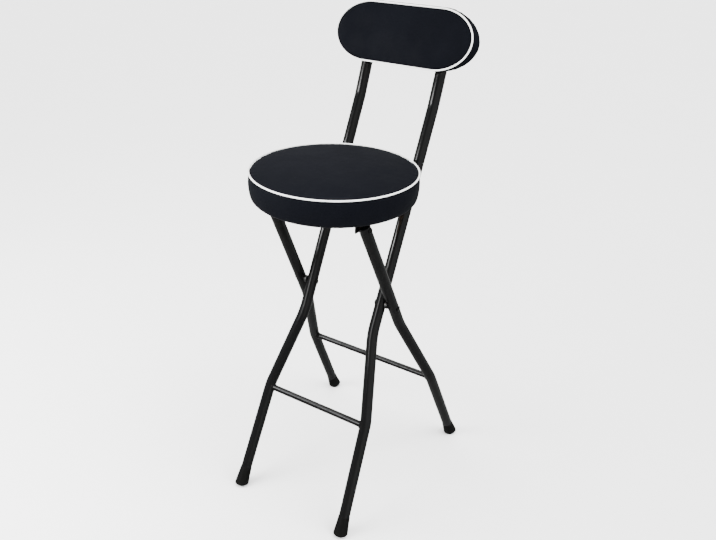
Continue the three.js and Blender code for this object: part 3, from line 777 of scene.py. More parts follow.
@dataclass(frozen=True)
class Weld:
    """A bead of weld where a rung along X meets a bent leg."""

    rung: Array
    rung_radius: float
    leg: Tube
    columns: int = 72
    thickness: float = 1.5
    sag: float = 0.9
    ripples: tuple[Triple, ...] = ((0.18, 17, 0.0), (0.1, 29, 1.3))
    search: float = 3.2

    def seam(self) -> Array:
        """The line where the rung's surface meets the leg.

        For each direction round the rung it is the first place along X, from the middle of the stool,
        that lies within the leg's radius of the leg's line. The search starts some radii before it.

        Returns:
            The seam's points.
        """
        reach = np.linspace(-self.search * self.leg.radius, 0.0, 80)
        spots = np.zeros((len(reach), self.columns, 3))
        spots[..., 0] = self.leg.half_at(self.rung[2]) + reach[:, None]
        spots[..., 1:] = self.rung[1:] + circle(self.rung_radius, self.columns)
        fine = refined(self.leg.line(), 2.5)
        near = fine[np.abs(fine[:, 2] - self.rung[2]) < 4 * self.leg.radius]
        start, along = near[:-1], np.diff(near, axis=0)
        offset = spots[:, :, None] - start
        share = np.clip(np.einsum("ijkl,kl->ijk", offset, along) / (along**2).sum(-1), 0, 1)
        distance = np.linalg.norm(offset - share[..., None] * along, axis=-1).min(-1)
        return spots[np.argmax(distance < self.leg.radius, axis=0), np.arange(self.columns)]

    def shell(self) -> Shell:
        """The bead: a circle carried round the seam, thicker at the underside and rippled by sine waves.

        Returns:
            The closed surface.
        """
        turns = directions(self.columns)
        thick = self.thickness + self.sag * np.clip(-np.sin(turns), 0.0, 1.0)
        thick += sum(depth * np.sin(turns * count + phase) for depth, count, phase in self.ripples)
        section = circle(1.0, 14)[None] * thick[:, None, None]
        return shell_of(swept(self.seam(), section, ALONG_X, looped=True), looped=True)


@dataclass(frozen=True)
class Rung:
    """A straight bar between a leg and its mirror image, welded at both ends."""

    name: str
    radius: float

    def build(self, leg: Tube, body: Body) -> None:
        """Makes the bar, which ends inside the legs, and its two beads of weld.

        Args:
            leg: The left leg that it meets.
            body: The body that it rides on.
        """
        place = middle_of(self.name)
        place[0] = leg.half_at(place[2])
        path = np.linspace(place * Side.RIGHT.mirror, place, 24)
        bar = shell_of(swept(path, circle(self.radius, 32), ALONG_Z))
        add_piece(f"{self.name}_bar", bar, body, PAINT, self.name)
        bead = Weld(place, self.radius, leg).shell()
        for side in Side:
            add_piece(side.of(f"{self.name}_weld"), bead.on(side), body, FITTING_PAINT)


@dataclass(frozen=True)
class Turned:
    """A round piece along X in place of a CAD node, one on each side."""

    node: str
    piece: str
    body: Body
    finish: Finish

    def profile(self, half: float) -> Array:
        """Radii and heights of a piece of the given half length."""
        raise NotImplementedError

    def build(self, side: Side) -> None:
        """Turns the profile between the ends of the node.

        Args:
            side: The side of the stool.
        """
        node = side.of(self.node)
        low, high = box_of(node)
        shell = shell_of(lathed(self.profile((high[0] - low[0]) / 2), 40))
        place = frame_matrix((low + high) / 2, ALONG_X)
        add_piece(side.of(self.piece), shell.placed(place), self.body, self.finish, node)


@dataclass(frozen=True)
class Rivet(Turned):
    """A pin with a domed head at each end."""

    shank: float = 4.0
    head: float = 5.8
    dome: float = 1.2
    dome_power: float = 3.2
    brim: float = 1.02

    def profile(self, half: float) -> Array:
        """Runs up one dome, along the shank, and down the other dome.

        A dome's height falls with a power of the distance from the axis.

        Args:
            half: Half the pin's length.

        Returns:
            Radii and heights.
        """
        spread = np.linspace(0.02, 1.0, 14)
        cap = np.stack([self.head * spread, half - self.dome * spread**self.dome_power], -1)
        under = half - self.dome * self.brim
        upper = np.concatenate([cap, [[self.head, under], [self.shank, under]]])
        return np.concatenate([upper, upper[::-1] * [1.0, -1.0]])


@dataclass(frozen=True)
class Washer(Turned):
    """A thick washer with soft outer edges."""

    bore: float = 4.3
    radius: float = 7.5
    rounding: float = 0.7

    def profile(self, half: float) -> Array:
        """The washer's face, its rim between two rounded edges, and its other face."""
        ends = np.array([[self.bore, -half], [self.radius, -half], [self.radius, half], [self.bore, half]])
        return rounded_line(ends, [self.rounding, self.rounding], 4)


@dataclass(frozen=True)
class PostPlug:
    """The plug in a post's open top: a stem, and a cap with a round edge and a low crown."""

    stem_radius: float = 8.8
    stem_depth: float = 6.0
    gap: float = 0.1
    radius: float = 11.1
    wall: float = 1.0
    edge: float = 2.9
    edge_rise: float = 2.2
    crown: float = 0.25

    def build(self, side: Side, matrix: Array) -> None:
        """Turns the plug's profile.

        Args:
            side: The side of the stool.
            matrix: Takes Z to the post's direction and the origin to its end.
        """
        spread = np.linspace(0.0, QUARTER_TURN, 10)
        flat, base = self.radius - self.edge, self.gap + self.wall
        dome = np.stack([flat + self.edge * np.cos(spread), base + self.edge_rise * np.sin(spread)], -1)
        share = np.linspace(1.0, 0.0, 6)
        top = base + self.edge_rise + self.crown * (1 - share**2)
        crown = np.stack([0.4 + (flat - 0.8) * share, top], -1)
        stem = [[self.stem_radius, -self.stem_depth], [self.stem_radius, self.gap], [self.radius, self.gap]]
        shell = shell_of(lathed(np.concatenate([stem, dome, crown]), 48)).placed(matrix)
        add_piece(side.of("post_plug_cap"), shell, Body.FRONT, PLASTIC, side.of("post_plug"))


@dataclass(frozen=True)
class TubeFrame(ABC):
    """A frame of two bent tubes that mirror each other, with rubber feet and rungs.

    From the side a frame is a straight line through the pivot, whose foot is a stride away from it.
    """

    word: str
    body: Body
    stride: float
    bends: tuple[float, ...]
    rungs: tuple[Rung, ...]
    pivot_y: float = -9.070
    pivot_height: float = 426.398
    sole: float = 9.0

    @abstractmethod
    def corners(self) -> Array:
        """Corners of the left tube's line, from the floor up."""

    def line_at(self, *marks: tuple[float, float]) -> Array:
        """Points of the straight line, from their half widths and heights."""
        half, height = np.array(marks).T
        return np.stack([half, self.pivot_y + self.stride * (1 - height / self.pivot_height), height], -1)

    def build_fittings(self, side: Side) -> None:
        """Makes what else is fixed to a tube. A plain frame has nothing."""

    def build(self) -> None:
        """Makes every piece of the frame. A tube starts above the sole of its foot."""
        corners = self.corners()
        run = unit(corners[1] - corners[0])
        foot = RubberFoot(corners[0].copy(), run).shell()
        corners[0] += run * self.sole
        leg = Tube(corners, self.bends)
        tube = leg.shell()
        for side in Side:
            for piece, shell, finish, node in (("tube", tube, PAINT, "leg"), ("cup", foot, RUBBER, "foot")):
                name, replaced = side.of(f"{self.word}_{piece}"), side.of(f"{self.word}_{node}")
                add_piece(name, shell.on(side), self.body, finish, replaced)
            self.build_fittings(side)
        for rung in self.rungs:
            rung.build(leg, self.body)


@dataclass(frozen=True)
class FrontFrame(TubeFrame):
    """The front frame, whose tubes run up into the back posts, with plugs and the pivots' rivets."""

    word: str = "front"
    body: Body = Body.FRONT
    stride: float = -203.0
    bends: tuple[float, ...] = (120.0, 180.0, 150.0)
    rungs: tuple[Rung, ...] = (Rung("front_rung", 6.25), Rung("catch_bar", 6.5))
    post_half: float = 83.2
    knee_half: float = 119.7
    foot_half: float = 128.7
    knee_height: float = 211.798
    hip_height: float = 368.398
    lean_height: float = 782.0
    lean: float = math.radians(20.0)
    top_rise: float = 163.0
    plug: PostPlug = PostPlug()
    spacer: Washer = Washer("pivot_spacer", "pivot_washer", Body.FRONT, PLASTIC)
    rivet: Rivet = Rivet("pivot_rivet", "pivot_rivet_head", Body.FRONT, FITTING_PAINT)

    @property
    def rise(self) -> Array:
        """The direction up the leaning posts."""
        return np.array([0.0, math.sin(self.lean), math.cos(self.lean)])

    def corners(self) -> Array:
        """Corners of the left tube, from the floor to the top of the post.

        Returns:
            The points, one to a row.
        """
        line = self.line_at((self.foot_half, 0.0), (self.knee_half, self.knee_height),
                            (self.post_half, self.hip_height), (self.post_half, self.lean_height))
        return np.concatenate([line, line[-1:] + self.rise * self.top_rise])

    def build_fittings(self, side: Side) -> None:
        """Makes a post's plug, and the spacer and rivet at the crossing.

        Args:
            side: The side of the stool.
        """
        self.plug.build(side, frame_matrix(self.corners()[-1] * side.mirror, self.rise))
        self.spacer.build(side)
        self.rivet.build(side)


@dataclass(frozen=True)
class RearFrame(TubeFrame):
    """The rear frame, whose tubes run from the floor to the hinges under the seat."""

    word: str = "rear"
    body: Body = Body.REAR
    stride: float = 216.0
    bends: tuple[float, ...] = (120.0, 120.0)
    rungs: tuple[Rung, ...] = (Rung("rear_rung", 6.25),)
    pivot_half: float = 112.1
    top_lean: float = math.radians(2.46)
    hip_height: float = 379.098
    knee_height: float = 216.998
    knee_splay: float = 40.1
    foot_splay: float = 13.0
    hinge_height: float = 627.930
    overrun: float = 9.0

    def tube_half(self, height: float) -> float:
        """Half width of the upper tube at a height."""
        return self.pivot_half - math.tan(self.top_lean) * (height - self.pivot_height)

    def corners(self) -> Array:
        """Corners of the left tube, from the floor to its top under the seat.

        Returns:
            The points, one to a row.
        """
        hip, hinge = self.tube_half(self.hip_height), self.tube_half(self.hinge_height)
        knee = hip + self.knee_splay
        line = self.line_at((knee + self.foot_splay, 0.0), (knee, self.knee_height),
                            (hip, self.hip_height), (hinge, self.hinge_height))
        line[-1] += unit(line[-1] - line[-2]) * self.overrun
        return line


# Pads


@dataclass(frozen=True)
class PadShape:
    """An oval pad, measured from its piping line: x across, y along its shorter side, z out of it."""

    half_length: float
    half_width: float
    end_length: float
    depth: float
    crown: float
    crown_power: float
    shoulder_inset: float
    shoulder_rise: float
    roll_width: float
    roll_height: float
    end_flare: float = 0.0
    side_lift: float = 0.0
    side_bulge: float = 2.2
    side_start: float = -1.6
    clearance: float = 0.3
    wrap_width: float = 14.0
    piping_radius: float = 1.5
    hem_faces: tuple[float, float] = (0.12, 1.3)
    hem_middle: float = 0.72
    hem_rounding: float = 0.55
    pleat_height: float = 0.5

    @property
    def edge_share(self) -> float:
        """The cosine below which a direction's point lies on a straight edge."""
        return 0.3 * (1 - self.end_length / self.half_length) + 1e-9

    @property
    def roll_top(self) -> float:
        """The height at which the side turns into the roll."""
        return self.roll_height - self.depth

    def oval(self, turns: Array, inset: float | Array = 0.0, flare: float | Array = 0.0) -> Array:
        """Points of the pad's outline: two half ellipses with straight edges between them.

        A direction's point is the cosine times the end's length and the sine times the half width,
        moved out along X by the straight edge's half length. In between, the cosine's change of sign
        is spread over a narrow range of directions, which lays points along the straight edges.

        Args:
            turns: Directions round the pad, in radians.
            inset: How far the outline is drawn in.
            flare: How far the ends are moved out.

        Returns:
            The outline's points, as pairs.
        """
        across = np.cos(turns)
        beyond = np.maximum(np.abs(across) - self.edge_share, 0.0) / (1 - self.edge_share)
        straight = (self.half_length - self.end_length) * np.clip(across / self.edge_share, -1.0, 1.0)
        x = straight + (self.end_length - inset + flare) * np.sign(across) * beyond
        y = (self.half_width - inset) * np.sign(np.sin(turns)) * np.sqrt(np.maximum(1 - beyond**2, 0.0))
        return np.stack([x, y], -1)

    def even_turns(self, count: int) -> Array:
        """Spreads directions by the length of the outline.

        Args:
            count: How many directions there are.

        Returns:
            Directions whose points lie evenly spaced along the outline.
        """
        fine = np.linspace(0.0, 2 * math.pi, 8001)
        steps = np.linalg.norm(np.diff(self.oval(fine), axis=0), axis=1)
        run = np.concatenate([[0.0], np.cumsum(steps)])
        return np.interp(np.linspace(0.0, run[-1], count, endpoint=False), run, fine)

    def depth_share(self, height: Array) -> Array:
        """How far down the side a height lies, from 0 at the seam to 1 at the roll."""
        return np.clip(height / self.roll_top, 0.0, 1.0)

    def lift_at(self, share: Array) -> Array:
        """How far the side is drawn up along Y: a half sine wave."""
        return self.side_lift * np.sin(math.pi * share)

    def rings(self, section: Array, turns: Array) -> Array:
        """A surface whose every row is the outline, drawn in and raised as its section says.

        Below the seam the ends flare out in step with the depth, and the side is drawn up along Y.

        Args:
            section: Insets and heights.
            turns: Directions round the pad.

        Returns:
            A grid of points.
        """
        share = self.depth_share(section[:, None, 1])
        flat = self.oval(turns[None], section[:, None, 0], self.end_flare * share)
        flat[..., 1] += self.lift_at(share)
        height = np.broadcast_to(section[:, None, 1:], (*flat.shape[:2], 1))
        return np.concatenate([flat, height], -1)

    def inset_of(self, points: Array) -> Array:
        """How far points lie inside the outline, to first order near it.

        Beside the straight edges it is the distance to them. Beyond, with r the ellipse's radius,
        which is one on the outline, it is one less r over the length of the slope of r.

        Args:
            points: Points in the pad's own frame.

        Returns:
            Insets in millimetres, negative outside.
        """
        depth = self.depth_share(points[..., 2])
        size = np.stack([self.end_length + self.end_flare * depth, np.full_like(depth, self.half_width)], -1)
        beyond = np.maximum(np.abs(points[..., 0]) - (self.half_length - self.end_length), 0.0)
        share = np.stack([beyond, np.abs(points[..., 1] - self.lift_at(depth))], -1) / size
        radius = np.maximum(np.linalg.norm(share, axis=-1), 1e-6)
        slope = np.linalg.norm(share / size, axis=-1) / radius
        return (1 - radius) / np.maximum(slope, 1e-6)

    def body_grid(self, crown: float, columns: int) -> Array:
        """The cushion from the middle of its crown, over the seam, down its side and round the roll.

        The crown falls from the middle with a power of the distance. The side bulges by a half sine
        wave. The roll is a quarter ellipse. Under it the cushion is flat, a little higher than its
        board's lower face.

        Args:
            crown: The crown's height.
            columns: Points round the pad.

        Returns:
            A grid of points, with a row for each point of the section.
        """
        turns = self.even_turns(columns)
        share = np.linspace(0.04, 1.0, 22)[:, None, None]
        rim = share * self.oval(turns, self.shoulder_inset)
        rise = self.shoulder_rise + crown * (1 - share**self.crown_power)
        top = np.concatenate([rim, np.broadcast_to(rise, (*rim.shape[:2], 1))], -1)
        seam = np.array([[self.shoulder_inset * 0.55, self.shoulder_rise * 0.86], [1.6, 0.4], [0.9, -0.6]])
        fall = np.linspace(0.0, 1.0, 12)
        bulge = 0.4 * (1 - fall) - self.side_bulge * np.sin(math.pi * fall)
        side = np.stack([bulge, self.side_start + (self.roll_top - self.side_start) * fall], -1)
        turn = np.linspace(0.0, QUARTER_TURN, 12)[1:]
        drop = (self.roll_height - self.clearance) * np.sin(turn)
        roll = np.stack([self.roll_width * (1 - np.cos(turn)), self.roll_top - drop], -1)
        inner = self.roll_width + self.wrap_width * 0.45
        under = np.array([[inner, self.clearance - self.depth], [inner + 2.5, 3.0 - self.depth]])
        rows = self.rings(np.concatenate([seam, side, roll, under]), turns)
        middle = rows[-1] * np.array([0.5, 0.5, 1.0])
        return np.concatenate([top, rows, middle[None]])

    def piping_grid(self, columns: int) -> Array:
        """The piping: a circle carried along the outline, at the height of the piping line.

        Args:
            columns: Points along the piping.

        Returns:
            A grid with a row for each point of the outline.
        """
        path = np.zeros((columns, 3))
        path[:, :2] = self.oval(self.even_turns(columns))
        return swept(path, circle(self.piping_radius, 16), ALONG_Z, looped=True)

    def hem_grid(self, columns: int) -> Array:
        """The cover's margin, wrapped under the board and gathered in pleats.

        The outer face is flat, and pleats stand up from it by a sine wave that grows towards the
        inner edge. The inner face lies one cover's thickness above, and the edge is rounded.

        Args:
            columns: Points round the pad.

        Returns:
            A grid of points whose rows go round the margin's section.
        """
        turns = self.even_turns(columns)
        inner, outer = self.roll_width + self.wrap_width - 1.0, self.roll_width * 0.72
        low = np.linspace(outer, inner, 14)
        share = eased((low - outer) / (inner - outer))
        pleats = np.abs(np.sin(turns * 31 + 0.7 * np.sin(turns * 5))) * 0.8 + 0.2 * np.sin(turns * 67 + 1.0)
        arc = np.linspace(-QUARTER_TURN, QUARTER_TURN, 7)[1:-1]
        edge = [inner, self.hem_middle] + self.hem_rounding * np.stack([np.cos(arc), np.sin(arc)], -1)
        face, back = (np.stack([low, np.full_like(low, height)], -1) for height in self.hem_faces)
        section = np.concatenate([face, edge, back[::-1]]) - [0.0, self.depth]
        grid = self.rings(section, turns)
        lift = np.concatenate([share, np.ones(len(edge)), share[::-1]])
        grid[..., 2] += self.pleat_height * lift[:, None] * pleats[None]
        return grid


@dataclass(frozen=True)
class Cushion:
    """A foam pad in a vinyl cover, with piping in its seam."""

    name: str
    shape: PadShape
    body: Body
    matrix: Array
    swell: float
    voxel: float
    fill: float = 0.85
    frames: int = 20
    hold_reach: float = 3.5
    hold_fade: float = 5.0
    under_fade: float = 6.0
    seam_pull: float = 1.5
    seam_reach: float = 7.0
    sag: float = 0.22
    sag_lengths: Triple = (31.0, 27.0, 23.0)
    pucker: float = 0.16
    pucker_place: float = 5.5
    pucker_fade: float = 6.0
    puckers: tuple[tuple[float, ...], ...] = (
        (1.0, 43, 0.0, 1.9, 3, 0.0),
        (0.7, 71, 0.0, 2.3, 2, 1.0),
        (0.5, 19, 0.4, 0.0, 0, 0.0),
    )

    def held_share(self, points: Array) -> Array:
        """1 where the cover is held, at the seam and under the board, falling to 0 elsewhere.

        Args:
            points: Points in the pad's own frame.

        Returns:
            A share for each point.
        """
        inset = self.shape.inset_of(points)
        seam = 1 - eased((np.hypot(inset, points[:, 2] + 0.8) - self.hold_reach) / self.hold_fade)
        under = 1 - eased((points[:, 2] + self.shape.depth - 1.0) / self.under_fade)
        return np.maximum(seam, under)

    def inflate(self, piece: Piece) -> None:
        """Blows the cushion up as cloth, held at the seam and underneath.

        A point moves by its simulated step times the cap over the cap plus the step's length, so no
        step passes the cap.

        Args:
            piece: The cushion's object, in the pad's own frame.
        """
        start = read_points(piece.data)
        group = piece.vertex_groups.new(name="held")
        weights = np.round(self.held_share(start), 1)
        for level in np.unique(weights):
            group.add(np.nonzero(weights == level)[0].tolist(), float(level), "REPLACE")
        cloth = piece.modifiers.new("cloth", "CLOTH")
        cloth.settings.quality = 6
        cloth.settings.mass = 0.3
        cloth.settings.use_pressure = True
        cloth.settings.uniform_pressure_force = 4.0
        cloth.settings.vertex_group_mass = group.name
        cloth.settings.effector_weights.gravity = 0.0
        cloth.point_cache.frame_start = 1
        cloth.point_cache.frame_end = self.frames
        scene = bpy.context.scene
        for frame in range(1, self.frames + 1):
            scene.frame_set(frame)
        step = read_points(piece.evaluated_get(bpy.context.evaluated_depsgraph_get()).data) - start
        piece.modifiers.remove(cloth)
        piece.vertex_groups.clear()
        scene.frame_set(1)
        length = np.linalg.norm(step, axis=1, keepdims=True)
        log.info("%s: cloth moved up to %.1f mm", piece.name, float(length.max()))
        write_points(piece.data, start + step * self.swell / (self.swell + length))

    def settle(self, points: Array) -> Array:
        """Draws the cover in along the seam and puckers it beside the piping.

        Near the seam a point moves towards the inside by the pull times the square of its closeness.
        The puckers are a sum of sine waves round the pad, each with its share, count and phase, and
        the swing, count and phase of a slower wave inside it. They fade by a bell curve beside the
        seam. Sags of the cover are broad sine waves over the crown and the side.

        Args:
            points: Points in the pad's own frame.

        Returns:
            The moved points.
        """
        x, y, z = points.T
        reach = np.hypot(self.shape.inset_of(points), z)
        size = np.array([self.shape.half_length, self.shape.half_width])
        outward = np.zeros_like(points)
        outward[:, :2] = points[:, :2] / size**2
        outward /= np.maximum(np.linalg.norm(outward, axis=1, keepdims=True), 1e-9)
        turn = np.arctan2(y / size[1], x / size[0])
        waves = sum(share * np.sin(turn * count + phase + swing * np.sin(turn * slow + start))
                    for share, count, phase, swing, slow, start in self.puckers)
        pucker = self.pucker * waves * np.exp(-((reach - self.pucker_place) / self.pucker_fade) ** 2)
        along, across, down = (points / self.sag_lengths).T
        broad = self.sag * np.sin(along + 0.8) * np.sin(across + down)
        sides = (z < -1.0) & (z > 2.0 - self.shape.depth)
        normal = np.where(sides[:, None], outward, np.array(ALONG_Z))
        lift = pucker + broad * (1 - self.held_share(points))
        draw = -0.7 * outward
        draw[:, 2] = np.where(z > -0.3, -0.75, 0.1)
        close = np.clip(1 - reach / self.seam_reach, 0.0, 1.0) ** 2
        return points + self.seam_pull * close[:, None] * draw + normal * lift[:, None]

    def build(self, *nodes: str) -> None:
        """Makes the cushion, its piping and its hem.

        Args:
            nodes: The CAD nodes that the cushion stands for.
        """
        shape, quick = self.shape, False
        crown = shape.crown if quick else shape.crown - self.swell * 0.8
        piece = make_object(f"{self.name}_cushion", shell_of(shape.body_grid(crown, 132)), 180.0)
        remesh = piece.modifiers.new("even", "REMESH")
        remesh.mode = "VOXEL"
        remesh.voxel_size = self.voxel * MM
        remesh.use_smooth_shade = True
        self.bake(piece)
        if not quick:
            self.inflate(piece)
        divide = piece.modifiers.new("fine", "SUBSURF")
        divide.levels = divide.render_levels = 1
        self.bake(piece)
        points = self.settle(read_points(piece.data))
        write_points(piece.data, points @ self.matrix[:3, :3].T + self.matrix[:3, 3])
        piece.data.shade_smooth()
        install(piece, self.body, VINYL, *nodes)
        cord = shell_of(shape.piping_grid(420), looped=True).placed(self.matrix)
        add_piece(f"{self.name}_piping_cord", cord, self.body, PIPING, f"{self.name}_piping")
        hem = shell_of(shape.hem_grid(496), looped=True).placed(self.matrix)
        add_piece(f"{self.name}_hem", hem, self.body, VINYL)

    @staticmethod
    def bake(piece: Piece) -> None:
        """Applies the modifiers of a piece to its mesh.

        Args:
            piece: The piece.
        """
        shaped = piece.evaluated_get(bpy.context.evaluated_depsgraph_get())
        mesh, old = bpy.data.meshes.new_from_object(shaped), piece.data
        piece.modifiers.clear()
        piece.data = mesh
        mesh.name = piece.name
        bpy.data.meshes.remove(old)


# Fittings of sheet steel and screws


@dataclass(frozen=True)
class BentStrip:
    """A strip of sheet under the seat that is bent down at its end, in its CAD node's box.

    It runs along X or Y, which is given by the coordinate's number.
    """

    node: str
    piece: str
    run: int
    thickness: float
    bend: float
    corners: tuple[float, float]
    edge: float = 0.35

    def section(self, widths: Array) -> Array:
        """The strip's section: a rectangle with round corners, as wide as given.

        Args:
            widths: The width at each point of the path.

        Returns:
            Pairs for each point of the path.
        """
        arc = self.edge * (circle(1.0, 16)[:5] - 1)
        signs = np.array([[1, 1], [-1, 1], [-1, -1], [1, -1]])
        corners = np.stack([arc * sign if sign.prod() > 0 else (arc * sign)[::-1] for sign in signs])
        size = np.stack([widths / 2, np.full_like(widths, self.thickness / 2)], -1)
        return (size[:, None, None] * signs[:, None] + corners).reshape(len(widths), -1, 2)

    def widths(self, path: Array, width: float) -> Array:
        """Widths along the strip: full, less what the circles of its ends' corners take.

        Args:
            path: The strip's middle line.
            width: The full width.

        Returns:
            A width for each point of the path.
        """
        run = np.concatenate([[0.0], np.cumsum(np.linalg.norm(np.diff(path, axis=0), axis=1))])
        radius = np.array(self.corners)[:, None]
        near = np.clip(radius - np.stack([run, run[-1] - run]), 0.0, radius)
        return (width - 2 * (radius - np.sqrt(radius**2 - near**2))).min(0)

    def build(self, side: Side) -> None:
        """Makes the strip: along the top of the box, then down at its far end.

        Args:
            side: The side of the stool.
        """
        node = side.of(self.node)
        low, high = np.sort(box_of(node) * side.mirror, axis=0)
        across, half = 1 - self.run, self.thickness / 2
        corners = np.zeros((3, 3))
        corners[:, across] = (low[across] + high[across]) / 2
        corners[:, self.run] = low[self.run], high[self.run] - half, high[self.run] - half
        corners[:, 2] = high[2] - half, high[2] - half, low[2]
        path = refined(rounded_line(corners, [self.bend], 8), 1.0)
        section = self.section(self.widths(path, high[across] - low[across]))
        shell = shell_of(swept(path, section, np.eye(3)[across])).on(side)
        add_piece(side.of(self.piece), shell, Body.SEAT, FITTING_PAINT, node)


@dataclass(frozen=True)
class PanScrew:
    """A pan-head screw with a cross recess, in place of a CAD screw."""

    node: str
    body: Body
    axis: Array
    shank: float
    head: float
    height: float = 2.2
    dome: float = 0.42
    recess: float = 0.55
    arm_half: float = 0.42
    arm_wall: float = 0.22
    end_share: float = 0.5
    end_wall: float = 0.4
    brim: float = 0.98
    columns: int = 64

    def build(self) -> None:
        """Makes the screw's head and shank.

        The head is a dome: its face drops with the third power of the distance from the axis. The
        recess is cut where a point lies within the narrow arms of a cross, with eased walls.
        """
        place, span = self.span()
        share = np.linspace(0.03, 1.0, 26)[:, None]
        x, y = np.moveaxis(self.head * share[..., None] * circle(1.0, self.columns), -1, 0)
        arm, reach = np.minimum(np.abs(x), np.abs(y)), np.maximum(np.abs(x), np.abs(y))
        cross = 1 - eased((arm - self.arm_half) / self.arm_wall)
        cross *= 1 - eased((reach - self.head * self.end_share) / self.end_wall)
        face = np.stack([x, y, self.height * (self.dome * share**3 + self.recess * cross)], -1)
        under = [[self.head, self.height * self.brim], [self.shank, self.height], [self.shank, span]]
        grid = np.concatenate([face, lathed(np.array(under), self.columns)])
        screw = shell_of(grid).placed(frame_matrix(place, self.axis))
        add_piece(f"{self.node}_head", screw, self.body, ZINC, self.node)

    def span(self) -> tuple[Array, float]:
        """Where the screw starts and how long it is, from its box.

        Along each coordinate the box passes the head's middle by the head's radius times the sine of
        the angle between them, and the tip by the shank's radius times the same.

        Returns:
            The middle of the head's face, and the length.
        """
        low, high = box_of(self.node)
        lean = np.sqrt(np.maximum(1 - self.axis**2, 0.0))
        start = np.where(self.axis > 0, low + self.head * lean, high - self.head * lean)
        tip = np.where(self.axis > 0, high - self.shank * lean, low + self.shank * lean)
        flat = np.abs(self.axis) < 1e-6
        start, tip = (np.where(flat, (low + high) / 2, end) for end in (start, tip))
        return start, float((tip - start) @ self.axis)


# The stool, the studio and the camera


@dataclass(frozen=True)
class Stool:
    """The whole stool."""

    front: FrontFrame = FrontFrame()
    rear: RearFrame = RearFrame()
    seat_shape: PadShape = PadShape(
        half_length=155, half_width=155, end_length=155, depth=57, crown=7.0, crown_power=2.6,
        shoulder_inset=7, shoulder_rise=0.9, roll_width=29.5, roll_height=16,
    )
    back_shape: PadShape = PadShape(
        half_length=147.8, half_width=56.9, end_length=74, depth=22.6, crown=6.5, crown_power=2.4,
        shoulder_inset=6, shoulder_rise=0.8, roll_width=6, roll_height=7, end_flare=9, side_lift=3,
    )
    fittings: tuple[BentStrip | Rivet, ...] = (
        BentStrip("hinge_bracket", "hinge_plate", run=0, thickness=1.8, bend=1.8, corners=(3.0, 1.2)),
        BentStrip("catch_hook", "catch_strip", run=1, thickness=2.0, bend=2.2, corners=(5.0, 3.0)),
        Rivet("hinge_pin", "hinge_pin_head", Body.SEAT, FITTING_PAINT, shank=3.0, head=5.5, dome=2.0),
    )

    def build(self) -> None:
        """Makes every piece of the stool. The back pad is turned to lie along the leaning posts."""
        self.front.build()
        self.rear.build()
        place = np.eye(4)
        place[:3, 3] = middle_of("seat_piping")
        seat = Cushion("seat", self.seat_shape, Body.SEAT, place, swell=2.6, voxel=4.6)
        seat.build("seat_cover", "seat_foam")
        tilt = QUARTER_TURN - self.front.lean
        place = np.eye(4)
        place[1:3, 1:3] = [[math.cos(tilt), -math.sin(tilt)], [math.sin(tilt), math.cos(tilt)]]
        place[:3, 3] = middle_of("back_piping")
        back = Cushion("back", self.back_shape, Body.FRONT, place, swell=2.4, voxel=4.2)
        back.build("back_cover", "back_foam")
        for side in Side:
            for fitting in self.fittings:
                fitting.build(side)
            for number in (1, 2):
                for word in ("bracket_screw", "hook_screw"):
                    node = side.of(f"{word}_{number}")
                    PanScrew(node, Body.SEAT, np.array(ALONG_Z), shank=2.0, head=4.0).build()
                node = side.of(f"back_screw_{number}")
                PanScrew(node, Body.FRONT, place[:3, 2], shank=2.5, head=4.8).build()


@dataclass(frozen=True)
class Camera:
    """The camera of the photograph, with lengths in millimetres and pixels."""

    place: Triple = (717.587, -1118.936, 1152.544)
    azimuth: float = math.radians(32.1393)
    pitch: float = math.radians(27.1291)
    roll: float = math.radians(1.4602)
    focal: float = 741.441
    offset: tuple[float, float] = (-3.298, 0.147)
    frame_width: float = 716.0
    sensor: float = 36.0

    def build(self) -> None:
        """Sets up the camera: its axes are the view's right and up, rolled, and the way back."""
        a, e, r = self.azimuth, self.pitch, self.roll
        right = np.array([math.cos(a), math.sin(a), 0.0])
        back = np.array([math.sin(a) * math.cos(e), -math.cos(a) * math.cos(e), math.sin(e)])
        up = np.cross(back, right)
        matrix = np.eye(4)
        matrix[:3, 0] = math.cos(r) * right + math.sin(r) * up
        matrix[:3, 1] = -math.sin(r) * right + math.cos(r) * up
        matrix[:3, 2] = back
        matrix[:3, 3] = np.array(self.place) * MM
        data = bpy.data.cameras.new("camera")
        data.sensor_width = self.sensor
        data.lens = self.focal * self.sensor / self.frame_width
        data.shift_x = -self.offset[0] / self.frame_width
        data.shift_y = self.offset[1] / self.frame_width
        camera = linked("camera", data)
        camera.matrix_world = Matrix(matrix.tolist())
        bpy.context.scene.camera = camera


@dataclass(frozen=True)
class Sun:
    """A far lamp that lights everything evenly from one side, soft by its width in degrees."""

    name: str
    away: Triple
    strength: float
    width: float

    def build(self) -> None:
        """Hangs the lamp."""
        data = bpy.data.lights.new(self.name, "SUN")
        data.energy = self.strength
        data.angle = math.radians(self.width)
        linked(self.name, data).matrix_world = Matrix(frame_matrix(self.away, self.away).tolist())


@dataclass(frozen=True)
class Lamp:
    """A soft rectangular lamp that faces the stool, in metres and watts."""

    name: str
    place: Triple
    aim: Triple
    size: tuple[float, float]
    power: float

    def build(self) -> None:
        """Hangs the lamp."""
        data = bpy.data.lights.new(self.name, "AREA")
        data.shape = "RECTANGLE"
        data.size, data.size_y = self.size
        data.energy = self.power
        away = np.array(self.place) - np.array(self.aim)
        linked(self.name, data).matrix_world = Matrix(frame_matrix(self.place, away).tolist())


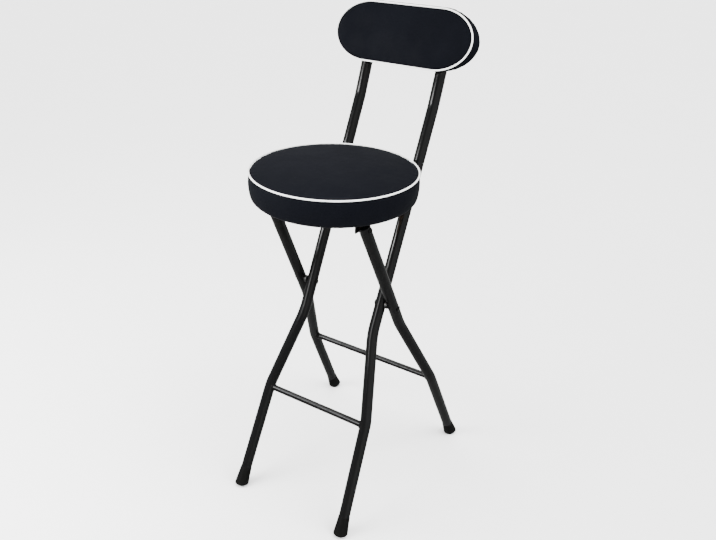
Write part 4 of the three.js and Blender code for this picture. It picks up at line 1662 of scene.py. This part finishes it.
@dataclass(frozen=True)
class Studio:
    """A plain pale floor under soft light."""

    floor_half: float = 40.0
    paper: tuple[Triple, Triple] = ((0.90, 0.90, 0.90), (0.91, 0.91, 0.91))
    sky: float = 0.5
    lamps: tuple[Sun | Lamp, ...] = (
        Sun("sun_top", (-0.10, 0.05, 1.0), 6.0, 60.0),
        Sun("sun_back", (0.95, 0.10, 1.0), 5.5, 50.0),
        Sun("sun_right", (1.0, -0.25, 0.55), 1.5, 90.0),
        Lamp("strip", (-1.42, -1.22, 1.18), (0.0, 0.0, 0.60), (0.9, 0.26), 50.0),
        Lamp("window", (-0.88, -1.36, 1.37), (0.0, 0.0, 0.22), (0.75, 0.26), 34.0),
        Lamp("low_strip", (-0.66, -1.90, 0.96), (0.0, -0.1, 0.36), (0.5, 0.32), 9.0),
    )

    def build_floor(self) -> None:
        """Makes the floor: a wide square of pale matt paper with a faint change of tone."""
        mesh = bpy.data.meshes.new("floor")
        square = self.floor_half * np.array([[-1, -1, 0], [1, -1, 0], [1, 1, 0], [-1, 1, 0]])
        mesh.from_pydata(square.tolist(), [], [(0, 1, 2, 3)])
        floor = linked("floor", mesh)
        bench = Bench("floor_paper", Roughness=0.9, Specular_IOR_Level=0.1)
        bench.put("Base Color", bench.mixed(bench.ranged(bench.noise(1.6), 0.3, 0.7), *self.paper))
        mesh.materials.append(bench.material)
        floor.visible_glossy = False

    def build(self) -> None:
        """Lights the scene and lays the floor."""
        world = bpy.data.worlds.new("studio")
        world.use_nodes = True
        background = world.node_tree.nodes["Background"]
        background.inputs["Color"].default_value = (1.0, 1.0, 1.0, 1.0)
        background.inputs["Strength"].default_value = self.sky
        bpy.context.scene.world = world
        for lamp in self.lamps:
            lamp.build()
        self.build_floor()


def main() -> None:
    """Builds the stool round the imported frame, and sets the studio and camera."""
    logging.basicConfig(level=logging.INFO, format="%(message)s")
    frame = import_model()
    Stool().build()
    for node, finish in (("seat_board", PLYWOOD), ("back_board", BLACK_BOARD)):
        finish.dress(frame["nodes"][node])
        log.info("%s: kept, in %s", node, finish.name)
    Studio().build()
    Camera().build()


if __name__ == "__main__":
    main()
